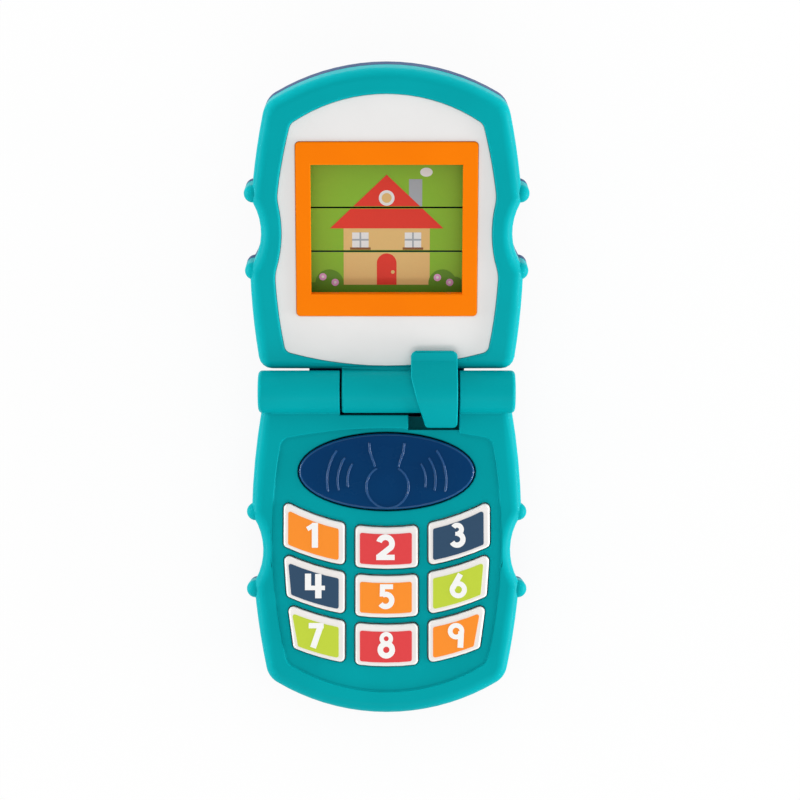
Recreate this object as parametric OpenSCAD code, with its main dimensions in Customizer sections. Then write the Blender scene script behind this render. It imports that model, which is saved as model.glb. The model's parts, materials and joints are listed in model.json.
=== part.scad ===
// Toy flip phone, lying open on its back with the keys up.
// The origin is the middle of the flat rear face of the base.
// Each half is drawn from the hinge axis: x to the right, then away from the hinge, then to the front.

/* [Case] */
// Length of each half, from the hinge axis to its far end
case_len = 78.9; // [66:0.1:95]
// Half width of each half at its widest
case_half_w = 33.2; // [28:0.1:40]
// Distance from the hinge axis to the widest place
case_wide_at = 33; // [28:1:38]
// Radius of the long sides
case_side_r = 170; // [140:5:220]
// Radius of the far end
case_end_r = 53; // [48:1:70]
// Radius of the two far corners
case_corner_r = 5.5; // [4:0.5:8]
// Radius of the corners at the hinge and beside the hollows
case_small_r = 3.3; // [3.1:0.1:4]
// Thickness of the casing walls
wall = 2.2; // [1.8:0.1:2.6]
// Rounding of the front edges
front_round = 2.8; // [2:0.1:3]
// Rounding of the rear edges
rear_round = 2.8; // [2:0.1:3]
// Gap between the two halves when shut
shut_gap = 0.8; // [0.6:0.1:1.2]

/* [Finger grips] */
// Distance from the hinge axis to the middle of the side hollow
grip_at = 39; // [37:0.5:41]
// Depth of the hollow below the widest place
grip_in = 2.8; // [2:0.1:3.2]
// Radius of the hollow
grip_r = 15.2; // [12:0.1:20]
// Radius of a bump beside the hollow
bump_r = 2.2; // [1.6:0.1:2.6]
// Distance of each bump from the middle of the hollow
bump_spread = 9.5; // [8:0.1:11]
// How far a bump stands out past the widest place
bump_out = 1.25; // [0.6:0.05:1.6]

/* [Hinge] */
// Angle by which the open lid stops short of flat
lid_tilt = 15; // [10:1:20]
// Radius of the hinge barrels
barrel_r = 5.2; // [4.6:0.1:5.6]
// Radius of the hinge pin
pin_r = 1.5; // [1.2:0.05:1.8]
// Running clearance around the hinge pin
pin_fit = 0.05; // [0.02:0.01:0.1]
// Gap between hinge barrels
knuckle_gap = 0.5; // [0.4:0.05:1]
// How far the outer barrels stay inside the widest place
knuckle_inset = 1.8; // [1:0.1:3]
// Rounding of the outer ends of the outer barrels
knuckle_round = 1; // [0.5:0.1:1.5]
// Left end of the lid's barrel, left of the middle
lid_knuckle_from = 10.95; // [8:0.05:12]
// Left edge of the lever's press pad
lever_from = 5.6; // [5:0.1:6.5]
// Width of the lever's press pad
lever_w = 11.7; // [11.4:0.1:12]
// How far the pad runs over the lid's barrel
lever_over = 3.7; // [3.5:0.1:4]
// How far the pad reaches over the lid
lever_tip = 10.5; // [9.8:0.1:10.6]
// How far the pad reaches over the base
lever_tail = 8.6; // [8:0.1:8.8]
// Clearance around the barrels
barrel_clear = 0.6; // [0.4:0.1:0.8]
// Radius of the plug that closes the pin's bore
plug_r = 2.4; // [2.2:0.1:3]

/* [Base] */
// Height of the hinge axis above the rear face
base_depth = 19.5; // [18.8:0.1:24]
// Depth of the parting line below the hinge axis
base_split = 10.5; // [9.5:0.1:11.5]
// How far the base reaches past the hinge axis
base_tail = 4.5; // [3:0.1:4.8]
// Depth of the sunk key field
panel_sink = 1; // [0.6:0.1:1.2]
// Thickness of the sunk key field
panel_t = 2; // [1.6:0.1:2.2]
// Width of the rim beside the key field at the widest place
panel_rim = 5.1; // [4.5:0.1:6]
// Depth of the lever's slot below the hinge axis
slot_depth = 7.5; // [7:0.1:8.5]
// Distance from the hinge axis to the far side of the lever's slot
slot_reach = 9.4; // [9.2:0.1:9.6]

/* [Lid] */
// Depth of the lid's rear face behind the hinge axis
lid_depth = 17.4; // [17:0.1:18]
// Depth of the lid's parting line
lid_split = 9; // [8.4:0.1:9.6]
// Distance from the hinge axis to the lid's near end
lid_start = 5.1; // [5:0.1:6]
// Thickness of the lid's rear wall
lid_floor_t = 1.6; // [1.4:0.05:1.7]
// Half width of the neck behind the hinge
neck_half_w = 19.1; // [18.6:0.1:22]
// How far the neck reaches past the hinge axis
neck_reach = 6.8; // [6.6:0.1:7.2]

/* [Screen] */
// Width of the rim beside the lid plate at the widest place
plate_rim = 6.1; // [5.6:0.1:7]
// Depth of the lid plate below the rim
plate_sink = 0.8; // [0.7:0.1:1.3]
// Thickness of the lid plate
plate_t = 1.6; // [1.2:0.1:1.6]
// Distance from the hinge axis to the near edge of the lid plate
plate_start = 6.3; // [6:0.1:7]
// Space beside the screen frame on the lid plate
frame_margin = 5.2; // [4.4:0.1:6]
// Height of the screen frame
frame_h = 42.65; // [42:0.05:45]
// How far the frame sits past the middle of the lid plate
frame_shift = 0.55; // [0:0.05:1]
// Width of the frame's upright sides
frame_side = 3.6; // [3:0.1:4]
// Width of the frame's top and bottom
frame_end = 5.55; // [5:0.05:6]
// How far the frame stands out of the lid plate
frame_proud = 0.5; // [0.4:0.1:0.8]

/* [Slats] */
// Width of one face of a slat
slat_side = 10.45; // [9.6:0.05:10.5]
// Distance between slat axes
slat_pitch = 10.8; // [10.75:0.05:11]
// Depth of the slat axes behind the hinge axis
slat_depth = 9.4; // [9.3:0.05:9.5]
// How far the slats sit nearer the hinge than the frame
slat_back = 0.95; // [0.6:0.05:1.1]
// How far the slats run past the opening at each end
slat_over = 1.3; // [1:0.1:1.6]
// Radius of the slat journals
journal_r = 1; // [0.8:0.05:1.2]
// Module of the rack and pinion teeth
tooth_module = 0.6; // [0.55:0.01:0.62]
// Teeth on a pinion
pinion_teeth = 8; // [8:1:8]
// Pressure angle of the teeth
pressure_angle = 30; // [28:1:32]
// Backlash between teeth
backlash = 0.2; // [0.15:0.01:0.3]
// Radius of the lever's crank
crank_r = 10; // [9.6:0.1:10.2]
// Radius of the crank pin
crank_pin_r = 1.2; // [1:0.1:1.3]

/* [Keys] */
// Distance from the hinge axis to the first row of keys
key_first = 33.3; // [32:0.1:34]
// Distance from the last row of keys to the far end
key_end = 11.6; // [11:0.1:14]
// Gap between rows
key_gap_y = 1.85; // [1.8:0.05:3]
// Gap between columns
key_gap_x = 2.6; // [2.4:0.1:4]
// Width of the middle key
key_mid_w = 15.3; // [12:0.1:16]
// Space between the outer keys and the edge of the key field
key_side = 2.8; // [2.6:0.1:4]
// Radius of the curve that a row follows
key_row_r = 60; // [50:1:90]
// Radius of the top edge of the first row
key_first_r = 52; // [48:1:90]
// Corner radius of a key
key_corner_r = 1.1; // [0.6:0.1:1.6]
// Height of the key tops above the hinge axis
key_top = 0.2; // [-0.3:0.1:0.4]
// Clearance around a key
key_fit = 0.3; // [0.2:0.05:0.4]
// Width of the white border around the coloured field
label_inset = 1.3; // [1.2:0.05:2]
// Thickness of the coloured field
label_t = 0.12; // [0.08:0.01:0.2]

/* [Squeaker] */
// Half width of the oval opening
oval_half_w = 21.9; // [19:0.1:22]
// Half height of the oval opening
oval_half_h = 9.7; // [8:0.1:9.8]
// Distance from the hinge axis to the middle of the oval
oval_at = 19.6; // [19.4:0.1:20.4]
// Clearance around the oval button
oval_fit = 0.35; // [0.3:0.05:0.6]
// Height of the button's face above the hinge axis
oval_top = -0.3; // [-0.8:0.1:0]
// Radius of the bellows
bellows_r = 8; // [6:0.1:8.5]

/* [Hidden] */
$fn = 48;
teal = "#06A3AB";
navy = "#0B3D63";
white = "#ECEBE8";
orange = "#F97F07";
green = "#86B22E";
grey = "#B9BDC1";
steel = "#C4C6C8";
rubber = "#D9D4C8";
label_colours = [
    "#FD9127", "#E34245", "#345168", "#345168", "#FD9127", "#C9D649", "#C9D649", "#E34245", "#FD9127"
];

tiny = 0.01;
bite = 0.1;
straight_r = 5000;
hinge_y = 38;
face = shut_gap / 2;
panel_z = -face - panel_sink;
panel_under = panel_z - panel_t;
lid_floor = -lid_depth + lid_floor_t;
rim_under = -face - plate_sink - plate_t + 0.2;
bay_half_w = neck_half_w + 0.5;
bay_reach = neck_reach - 0.6;
bay_lip = 3.4;
knuckle_end = case_half_w - knuckle_inset;
lever_to = lever_from + lever_w;
hub_from = lever_from + lever_over;
lid_knuckle_to = hub_from - 0.45;
lever_crown = barrel_r + 1.3;
pad_clear = 0.35;
slot_from = lever_from - 0.3;
slot_to = lever_to + knuckle_gap;
slot_wall = 0.7;
slot_floor = 1.2;

screw_r = 0.95;
screw_hole_r = 1.15;
screw_head_r = 1.8;
screw_well_r = 2.2;
front_post_r = 2.2;
rear_post_r = 2.9;
key_post_r = 1.6;
cradle_post_r = 2;
cover_floor = 1.8;
base_seat = -base_depth + 5;
lid_seat = -lid_depth + 4.4;

plate_half_w = case_half_w - plate_rim;
plate_end = case_len - plate_rim;
plate_front = -face - plate_sink;
plate_back = plate_front - plate_t;
plate_fit = 0.1;
clamp = plate_back - 1.2;
frame_at = (plate_start + plate_end) / 2 + frame_shift;
frame_half_w = plate_half_w - frame_margin;
window_half_w = frame_half_w - frame_side;
window_h = frame_h - 2 * frame_end;
flange = 1.2;
flange_corner_r = 4;
frame_corner_r = 1;

slat_at = frame_at - slat_back;
slat_half_w = window_half_w + slat_over;
slat_inner_r = slat_side / (2 * sqrt(3));
slat_swing_r = slat_side / sqrt(3);
slat_names = ["bottom", "middle", "top"];
pinion_r = tooth_module * pinion_teeth / 2;
tooth_pitch = PI * tooth_module;
tooth_add = 0.8 * tooth_module;
tooth_ded = tooth_module;
pinion_from = slat_half_w + 0.3;
pinion_w = 2.8;
rack_from = pinion_from + 0.1;
rack_w = 2.6;
rack_line = -slat_depth - pinion_r;
rack_root = rack_line - tooth_ded;
rack_back = rack_root - 1.6;
rack_travel = pinion_r * 2 * PI / 3;
crank_half = asin(rack_travel / (2 * crank_r));
rack_start = 13;
rack_end = slat_at + slat_pitch + 10.5;
cheek_left = slat_half_w + 0.5;
cheek_right = pinion_from + pinion_w + 0.4;
cradle_half_h = slat_pitch + slat_swing_r + 1.7;
arm_from = lever_from + 6.4;
arm_w = 2.2;
arm_half = 2.2;
yoke_from = arm_from + arm_w + 0.4;
yoke_w = 2.2;
yoke_fit = 0.1;
boss_gap = 2.5;
cradle_u = 13;
cradle_rear = clamp - 4;
cradle_top = clamp - 2.6;
cheek_t = 1.8;
end_t = 1.9;

panel_half_w = case_half_w - panel_rim;
key_half_w = panel_half_w - key_side;
key_h = (case_len - key_end - key_first - 2 * key_gap_y) / 3;
key_flange = 0.6;
key_bow_r = 160;
key_bow_at = 34;
key_rise = 5;
label_shift = [-0.2, -0.3];
mat_top = panel_under - 3.6;
mat_t = 1;
key_plate_t = 1.6;
plate_seat = mat_top - mat_t;
screw_v = [14, case_len - 16.9];
key_plate_screw_at = [[case_half_w - 5.9, key_first - 7.8], [12, case_len - 8.8]];
key_plate_ear = 2.4;
key_plate_from = key_first - 3.4;
key_plate_to = case_len - 6.6;

// Geometry of flat outlines

function unit(p) = p / norm(p);
function wrap(a) = a - 360 * round(a / 360);
function heading(c, p) = atan2(p[1] - c[1], p[0] - c[0]);

// Where two circles cross, on the left of the line between them for side 1 and on the right for side -1
function meet(c1, r1, c2, r2, side) =
    let (
        d = norm(c2 - c1),
        a = (r1 * r1 - r2 * r2 + d * d) / (2 * d),
        h = sqrt(r1 * r1 - a * a),
        u = (c2 - c1) / d
    ) c1 + a * u + side * h * [-u[1], u[0]];

// Points from p toward q on a circle, without the last
function arc(c, r, p, q, n) =
    let (from = heading(c, p), turn = wrap(heading(c, q) - from))
    [for (i = [0:n - 1]) c + r * [cos(from + turn * i / n), sin(from + turn * i / n)]];

// Right half of a shield shape with bowed sides and ends, and a hollow in each side if hollow_r is above 0
function shield_half(half_w, wide_at, side_r, near, near_r, near_corner, far, far_r, far_corner,
                     hollow_half_w = 0, hollow_at = 0, hollow_r = 0, hollow_corner = 0) =
    let (
        side_c = [half_w - side_r, wide_at],
        near_c = [0, near + near_r],
        far_c = [0, far - far_r],
        hollow_c = [hollow_half_w + hollow_r, hollow_at],
        near_k = meet(side_c, side_r - near_corner, near_c, near_r - near_corner, -1),
        far_k = meet(side_c, side_r - far_corner, far_c, far_r - far_corner, 1),
        side_a = near_k + near_corner * unit(near_k - side_c),
        side_b = far_k + far_corner * unit(far_k - side_c),
        near_b = near_k + near_corner * unit(near_k - near_c),
        far_a = far_k + far_corner * unit(far_k - far_c)
    ) concat(
        arc(near_c, near_r, [0, near], near_b, near_r < straight_r ? 6 : 1),
        arc(near_k, near_corner, near_b, side_a, 4),
        hollow_r > 0
            ? let (
                low_k = meet(side_c, side_r - hollow_corner, hollow_c, hollow_r + hollow_corner, -1),
                high_k = meet(side_c, side_r - hollow_corner, hollow_c, hollow_r + hollow_corner, 1),
                low_a = low_k + hollow_corner * unit(low_k - side_c),
                low_b = low_k + hollow_corner * unit(hollow_c - low_k),
                high_a = high_k + hollow_corner * unit(hollow_c - high_k),
                high_b = high_k + hollow_corner * unit(high_k - side_c)
            ) concat(
                arc(side_c, side_r, side_a, low_a, 5),
                arc(low_k, hollow_corner, low_a, low_b, 3),
                arc(hollow_c, hollow_r, low_b, high_a, 8),
                arc(high_k, hollow_corner, high_a, high_b, 3),
                arc(side_c, side_r, high_b, side_b, 5)
            )
            : arc(side_c, side_r, side_a, side_b, 12),
        arc(far_k, far_corner, side_b, far_a, 6),
        arc(far_c, far_r, far_a, [0, far], 9),
        [[0, far]]
    );

// Whole outline from its right half, and the same turned over to the base's side of the hinge
function whole(half) = concat(half, [for (i = [len(half) - 2:-1:1]) [-half[i][0], half[i][1]]]);
function turned(p) = [for (i = [0:len(p) - 1]) let (q = p[(len(p) - i) % len(p)]) [q[0], -q[1]]];

// Outline moved inward by d
function inset(p, d) =
    let (n = len(p))
    [for (i = [0:n - 1]) let (t = unit(p[(i + 1) % n] - p[(i + n - 1) % n])) p[i] + d * [-t[1], t[0]]];

function case_half(near, near_corner) =
    shield_half(case_half_w, case_wide_at, case_side_r, near, straight_r, near_corner, case_len, case_end_r,
                case_corner_r, case_half_w - grip_in, grip_at, grip_r, case_small_r);
lid_outline = whole(case_half(lid_start, case_small_r));
base_outline = turned(whole(case_half(-base_tail, case_small_r)));
plate_outline = whole(shield_half(plate_half_w, 34, 122, plate_start, 88, 2, plate_end, 40.2, 2.4,
                                  plate_half_w - 1.8, grip_at + 0.4, 31.6, 9));
panel_outline = turned(whole(shield_half(panel_half_w, 36, 130, 9, 131, 2.4, case_len - 5.2, 45.6, 3)));
function case_edge(v) = case_half_w - case_side_r + sqrt(pow(case_side_r, 2) - pow(v - case_wide_at, 2));
function screw_u(v) = case_edge(v) - wall - 1.4;
function oval(half_w, half_h) = [for (a = [0:7.5:359]) [half_w * cos(a), -oval_at + half_h * sin(a)]];

// Rounded corner at b on the way from a to c
function fillet(a, b, c, r) =
    let (
        p = unit(a - b),
        q = unit(c - b),
        half = acos(p * q) / 2,
        k = b + unit(p + q) * r / sin(half)
    ) concat(arc(k, r, b + p * r / tan(half), b + q * r / tan(half), 4), [b + q * r / tan(half)]);

// Key outline for row and column 0 to 2, grown by g
function row_rise(x, r) = r - sqrt(r * r - x * x);
function key_side_x(y) = key_half_w - pow(y + key_bow_at, 2) / (2 * key_bow_r);
function key_outline(row, col, g) =
    let (
        top = -key_first - row * (key_h + key_gap_y),
        mid = key_mid_w / 2 + g,
        inner = key_mid_w / 2 + key_gap_x - g,
        side = col - 1,
        high = key_side_x(top + key_rise) + g,
        low = key_side_x(top - key_h + key_rise) + g,
        left_low = side == 0 ? -mid : side > 0 ? inner : -low,
        right_low = side == 0 ? mid : side > 0 ? low : -inner,
        left_high = side == 0 ? -mid : side > 0 ? inner : -high,
        right_high = side == 0 ? mid : side > 0 ? high : -inner,
        bottom_edge = [for (i = [0:4]) let (x = left_low + (right_low - left_low) * i / 4)
            [x, top - key_h - g + row_rise(x, key_row_r)]],
        top_edge = [for (i = [0:4]) let (x = right_high + (left_high - right_high) * i / 4)
            [x, top + g + row_rise(x, row == 0 ? key_first_r : key_row_r)]],
        r = max(key_corner_r + g, 0.5)
    ) concat(
        fillet(top_edge[4], bottom_edge[0], bottom_edge[1], r),
        [for (i = [1:3]) bottom_edge[i]],
        fillet(bottom_edge[3], bottom_edge[4], top_edge[0], r),
        fillet(bottom_edge[4], top_edge[0], top_edge[1], r),
        [for (i = [1:3]) top_edge[i]],
        fillet(top_edge[3], top_edge[4], bottom_edge[0], r)
    );
function key_middle(row, col) =
    let (p = key_outline(row, col, 0), one = [for (q = p) 1])
    [for (i = [0, 1]) one * [for (q = p) q[i]] / len(p)];

// Involute tooth shapes
function inv(a) = tan(a) * 180 / PI - a;
function tooth_half(r) =
    90 / pinion_teeth + inv(pressure_angle) - inv(acos(min(1, pinion_r * cos(pressure_angle) / r)))
    - backlash / 4 / pinion_r * 180 / PI;
function polar(r, a) = [r * cos(a), r * sin(a)];
pinion_root = pinion_r - tooth_ded;
pinion_base = pinion_r * cos(pressure_angle);
pinion_tip = pinion_r + tooth_add;
flank = [for (i = [0:4]) pinion_base + tiny + (pinion_tip - pinion_base) * i / 4];
pinion_profile = [for (k = [0:pinion_teeth - 1]) let (a = 360 * k / pinion_teeth) each concat(
    [polar(pinion_root, a - tooth_half(flank[0]))],
    [for (r = flank) polar(r, a - tooth_half(r))],
    [for (i = [4:-1:0]) polar(flank[i], a + tooth_half(flank[i]))],
    [polar(pinion_root, a + tooth_half(flank[0]))]
)];
rack_tooth_first = slat_at - slat_pitch - rack_travel - 2 * tooth_pitch;
rack_tooth_count = ceil((2 * slat_pitch + rack_travel + 4 * tooth_pitch) / tooth_pitch);
rack_tooth_v = [for (i = [0:rack_tooth_count - 1]) rack_tooth_first + tooth_pitch * i];
rack_half_tip = tooth_pitch / 4 - backlash / 4 - tooth_add * tan(pressure_angle);
rack_half_root = tooth_pitch / 4 - backlash / 4 + tooth_ded * tan(pressure_angle);

// Placing

module in_base() {
    translate([0, hinge_y, base_depth]) children();
}

module in_lid() {
    translate([0, hinge_y, base_depth]) rotate([lid_tilt, 0, 0]) children();
}

// A round bar along x
module rod(r, from, to) {
    translate([from, 0, 0]) rotate([0, 90, 0]) cylinder(r = r, h = to - from);
}

// A round post standing on its end
module post(r, low, high) {
    translate([0, 0, low]) cylinder(r = r, h = high - low);
}

// An outer hinge barrel on the right for side 1 and on the left for side -1, rounded at its outer end
module outer_barrel(side, from, to) {
    translate([side * from, 0, 0]) rotate([0, side * 90, 0]) rotate_extrude() {
        square([barrel_r, to - from - knuckle_round]);
        square([barrel_r - knuckle_round, to - from]);
        translate([barrel_r - knuckle_round, to - from - knuckle_round]) circle(knuckle_round);
    }
}

// A side view, drawn as distance from the hinge and height, carried along x
module along(from, to) {
    translate([from, 0, 0]) rotate([90, 0, 90]) linear_extrude(to - from) children();
}

module slab(points, low, high) {
    translate([0, 0, low]) linear_extrude(high - low) polygon(points);
}

module box(from, to) {
    translate(from) cube(to - from);
}

module mirrored() {
    children();
    mirror([1, 0, 0]) children();
}

// Strips across an end of a loft, each between two points and the two opposite
function cap_strip(i, n) =
    i == 0 ? [0, 1, n - 1] : i == n / 2 - 1 ? [i, i + 1, n - i] : [i, i + 1, n - i - 1, n - i];

// Solid through a stack of outlines, listed from the lowest up, each with its points in opposite pairs
module loft(rings) {
    n = len(rings[0]);
    top = n * (len(rings) - 1);
    strips = [for (i = [0:n / 2 - 1]) cap_strip(i, n)];
    polyhedron(
        points = [for (ring = rings) each ring],
        faces = concat(
            strips,
            [for (strip = strips) [for (i = [len(strip) - 1:-1:0]) top + strip[i]]],
            [for (k = [0:len(rings) - 2], i = [0:n - 1]) each let (
                a = k * n + i,
                b = k * n + (i + 1) % n,
                c = (k + 1) * n + (i + 1) % n,
                d = (k + 1) * n + i
            ) [[a, d, c], [a, c, b]]]
        )
    );
}

function ring(p, d, z) = [for (q = inset(p, d)) [q[0], q[1], z]];

module rounded_front(p, low, high, r) {
    loft(concat([ring(p, 0, low)], [for (a = [0:18:90]) ring(p, r * (1 - cos(a)), high - r + r * sin(a))]));
}

module rounded_rear(p, low, high, r) {
    loft(concat([for (a = [90:-18:0]) ring(p, r * (1 - cos(a)), low + r - r * sin(a))], [ring(p, 0, high)]));
}

// Finger bumps of one half, dir 1 for the lid and -1 for the base, domed at the far end of from to
module bumps(dir, from, to) {
    low = min(from, to);
    high = max(from, to);
    dome = to > from ? high - bump_r : low + bump_r;
    for (side = [-1, 1], v = [grip_at - bump_spread, grip_at + bump_spread])
        translate([side * (case_half_w + bump_out - bump_r), dir * v, 0]) rotate_extrude() intersection() {
            union() {
                translate([0, min(from, dome)]) square([bump_r, abs(dome - from)]);
                translate([0, dome]) circle(bump_r);
            }
            translate([0, low]) square([bump_r, high - low]);
        }
}

// Screw with its head at the rear end, pointing to the front
module screw(seat, length, head = 1.2) {
    post(screw_head_r, seat - head, seat);
    post(screw_r, seat - tiny, seat + length);
}

// The four places where screws hold a half together
module at_case_screws(dir) {
    for (side = [-1, 1], v = screw_v) translate([side * screw_u(v), dir * v, 0]) children();
}

module rear_boss_holes(rear, seat, front) {
    post(screw_well_r, rear - 1, seat);
    post(screw_hole_r, seat - tiny, front + 1);
}

// The places where screws hold the key plate
module at_key_plate_screws() {
    for (side = [-1, 1], p = key_plate_screw_at) translate([side * p[0], -p[1], 0]) children();
}

// Space in the base for the lid's neck
module neck_bay() {
    box([-bay_half_w, -bay_reach, -base_depth - 1], [bay_half_w, 10, panel_under + tiny]);
}

// Walls that close the base around that space
module neck_bay_walls(low, high) {
    box([-bay_half_w - wall, -bay_reach - wall, low], [bay_half_w + wall, -bay_reach, high]);
    mirrored() box([bay_half_w, -bay_reach - wall, low], [bay_half_w + wall, base_tail - 1.2, high]);
}

// Base

module base_front_shell() color(teal) in_base() difference() {
    union() {
        difference() {
            union() {
                difference() {
                    rounded_front(base_outline, -base_split, -face, front_round);
                    slab(inset(base_outline, wall), -base_split - 1, panel_under);
                }
                bumps(-1, -base_split, -face - 1);
                neck_bay_walls(-base_split, panel_under + bite);
                box([slot_from - 0.8, -slot_reach - slot_wall, -slot_depth - slot_floor],
                    [slot_to + 1.5, -bay_reach, panel_under + bite]);
                at_case_screws(-1) post(front_post_r, -base_split, panel_under + bite);
                at_key_plate_screws() post(key_post_r, plate_seat, panel_under + bite);
            }
            neck_bay();
            box([-bay_half_w, -2, panel_under - 1], [bay_half_w, 10, 1]);
            box([-lid_knuckle_from - knuckle_gap, -barrel_r - knuckle_gap, -slot_depth], [slot_to, 10, 1]);
            box([slot_from, -slot_reach, -slot_depth], [slot_to, 0, 1]);
            box([slot_from, -slot_reach - 1.2, panel_z], [slot_to, 0, 1]);
            slab(panel_outline, panel_z, 1);
            slab(oval(oval_half_w, oval_half_h), panel_under - 1, 1);
            for (row = [0:2], col = [0:2]) slab(key_outline(row, col, key_fit), panel_under - 1, 1);
        }
        outer_barrel(-1, lid_knuckle_from + knuckle_gap, knuckle_end);
        outer_barrel(1, slot_to, knuckle_end);
    }
    rod(pin_r + pin_fit, -knuckle_end + 1.6, knuckle_end + 1);
    rod(plug_r, knuckle_end - 1.8, knuckle_end + 1);
    at_case_screws(-1) post(screw_r, -base_split - 1, -base_split + 5.5);
    at_key_plate_screws() post(screw_r, plate_seat - 1, plate_seat + 4);
}

module base_rear_cover() color(navy) in_base() {
    difference() {
        union() {
            difference() {
                rounded_rear(base_outline, -base_depth, -base_split, rear_round);
                slab(inset(base_outline, wall), -base_depth + cover_floor, -base_split + 1);
            }
            bumps(-1, -base_split, -base_depth + 3);
            neck_bay_walls(-base_depth + 1, -base_split);
            at_case_screws(-1) post(rear_post_r, -base_depth + 1, -base_split);
            translate([0, -oval_at, 0]) post(bellows_r + 2, -base_depth + 1, -base_depth + 5);
        }
        neck_bay();
        translate([0, -oval_at, 0]) post(bellows_r + 0.6, -base_depth + cover_floor, -base_split);
        for (x = [-4, 0, 4]) translate([x, -oval_at, 0])
            box([-0.8, -4, -base_depth - 1], [0.8, 4, -base_depth + 3]);
        at_case_screws(-1) rear_boss_holes(-base_depth, base_seat, -base_split);
    }
    box([-bay_half_w - 1, -bay_reach - 1, -base_depth],
        [bay_half_w + 1, -bay_lip, -base_depth + cover_floor]);
}

module base_case_screws() color(steel) in_base() at_case_screws(-1) screw(base_seat, 8.6);

module hinge_pin() color(steel) in_base() rod(pin_r, -knuckle_end + 1.65, knuckle_end - 1.9);

module hinge_plug() color(teal) in_base() rod(plug_r - 0.03, knuckle_end - 1.8, knuckle_end - 0.1);

module key_plate_outline() {
    ear = key_plate_screw_at[0];
    intersection() {
        polygon(inset(base_outline, wall + 0.9));
        union() {
            translate([-key_half_w, -key_plate_to]) square([2 * key_half_w, key_plate_to - key_plate_from]);
            mirrored() translate([key_half_w - 2, -key_plate_from - 2])
                square([ear[0] - key_half_w, key_plate_from - ear[1]] + (key_plate_ear + 2) * [1, 1]);
        }
    }
}

module key_plate() color(grey) in_base() difference() {
    translate([0, 0, plate_seat - key_plate_t]) linear_extrude(key_plate_t) key_plate_outline();
    at_key_plate_screws() post(screw_hole_r, plate_seat - 3, plate_seat + 2);
    at_case_screws(-1) post(front_post_r + 0.4, plate_seat - 3, plate_seat + 2);
}

module key_plate_screws() color(steel) in_base()
    at_key_plate_screws() screw(plate_seat - key_plate_t, 4.8, 0.8);

module at_keys() {
    for (row = [0:2], col = [0:2]) let (m = key_middle(row, col)) translate([m[0], m[1], 0]) children();
}

module key_mat() color(rubber) in_base() difference() {
    union() {
        translate([0, 0, plate_seat]) linear_extrude(mat_t) key_plate_outline();
        at_keys() translate([0, 0, mat_top - tiny]) cylinder(r1 = 3.8, r2 = 2.7, h = 1.6);
    }
    at_keys() translate([0, 0, plate_seat - tiny]) cylinder(r1 = 3.2, r2 = 1.7, h = mat_t + 1);
    at_key_plate_screws() post(key_post_r + 0.2, plate_seat - 1, mat_top + 1);
    at_case_screws(-1) post(front_post_r + 0.4, plate_seat - 1, mat_top + 1);
}

module key(i) color(white) in_base() {
    row = floor(i / 3);
    col = i % 3;
    m = key_middle(row, col);
    slab(key_outline(row, col, 0), panel_under - 0.4, key_top);
    slab(key_outline(row, col, key_flange), panel_under - 1.2, panel_under - 0.2);
    translate([m[0], m[1], 0]) post(2.4, mat_top + 1.75, panel_under - 0.75);
}

module key_label(i) color(label_colours[i]) in_base() translate(label_shift)
    slab(key_outline(floor(i / 3), i % 3, -label_inset), key_top, key_top + label_t);

module squeaker_button() color(navy) in_base() {
    slab(oval(oval_half_w - oval_fit, oval_half_h - oval_fit), panel_under - 0.4, oval_top);
    intersection() {
        slab(oval(oval_half_w + 1.2, oval_half_h + 1.2), panel_under - 1.6, panel_under - 0.2);
        union() {
            slab(oval(oval_half_w - oval_fit, oval_half_h - oval_fit), panel_under - 2, 0);
            mirrored() box([15, -oval_at - 9, panel_under - 2], [30, -oval_at + 9, 0]);
        }
    }
}

reed_r = 2.45;

// Half section of the bellows, as radius and height
bellows_low = -base_depth + 1.85;
bellows_high = panel_under - 1.7;
bellows_step = (bellows_high - bellows_low) / 6;
bellows_fold = 1.6;
function bellows_side(d) =
    [for (i = [0:6]) [bellows_r - d - (i % 2 == 0 ? bellows_fold : 0), bellows_low + bellows_step * i]];

module squeaker_bellows() color(rubber) in_base() translate([0, -oval_at, 0]) difference() {
    rotate_extrude() polygon(concat([[0, bellows_low]], bellows_side(0), [[0, bellows_high]]));
    intersection() {
        rotate_extrude() polygon(concat([[0, bellows_low]], bellows_side(1), [[0, bellows_high]]));
        post(bellows_r, bellows_low + 1, bellows_high - 1);
    }
    post(reed_r + 0.05, bellows_low - 1, bellows_low + 3);
}

module squeaker_reed() color(grey) in_base() translate([0, -oval_at, bellows_low]) difference() {
    union() {
        post(reed_r, 0, 3.4);
        post(3.4, 1.05, 1.85);
    }
    post(1.3, -1, 4);
}

// Lid

module lid_front_shell() color(teal) in_lid() difference() {
    union() {
        difference() {
            rounded_front(lid_outline, -lid_split, -face, front_round);
            slab(inset(lid_outline, wall), -lid_split - 1, rim_under);
        }
        bumps(1, -lid_split, -face - 1);
        at_case_screws(1) post(front_post_r, -lid_split, rim_under + bite);
        along(-lid_knuckle_from, lid_knuckle_to)
            polygon([[0, -barrel_r + 1], [lid_start + 1, -barrel_r + 0.6], [lid_start + 1, -1.4], [0, 2]]);
        rod(barrel_r, -lid_knuckle_from, lid_knuckle_to);
    }
    slab(inset(plate_outline, -plate_fit), rim_under - 1, 1);
    rod(pin_r + pin_fit, -lid_knuckle_from - 1, lid_knuckle_to + 1);
    rod(spring_space_r, lever_from, lid_knuckle_to + 1);
    translate([0, spring_r, 0]) rod(spring_hole_r, lever_from - 2, lever_from + tiny);
    at_case_screws(1) post(screw_r, -lid_split - 1, -lid_split + 4.2);
}

// Channel that guides the rack, between u from and u to
module rack_guide(from, to, at, high) {
    difference() {
        box([from - 1, at, lid_floor - 0.4], [to + 1, at + 3, high]);
        box([from - 0.2, at - 1, rack_back - 0.15], [to + 0.2, at + 4, high + 1]);
    }
}

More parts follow.
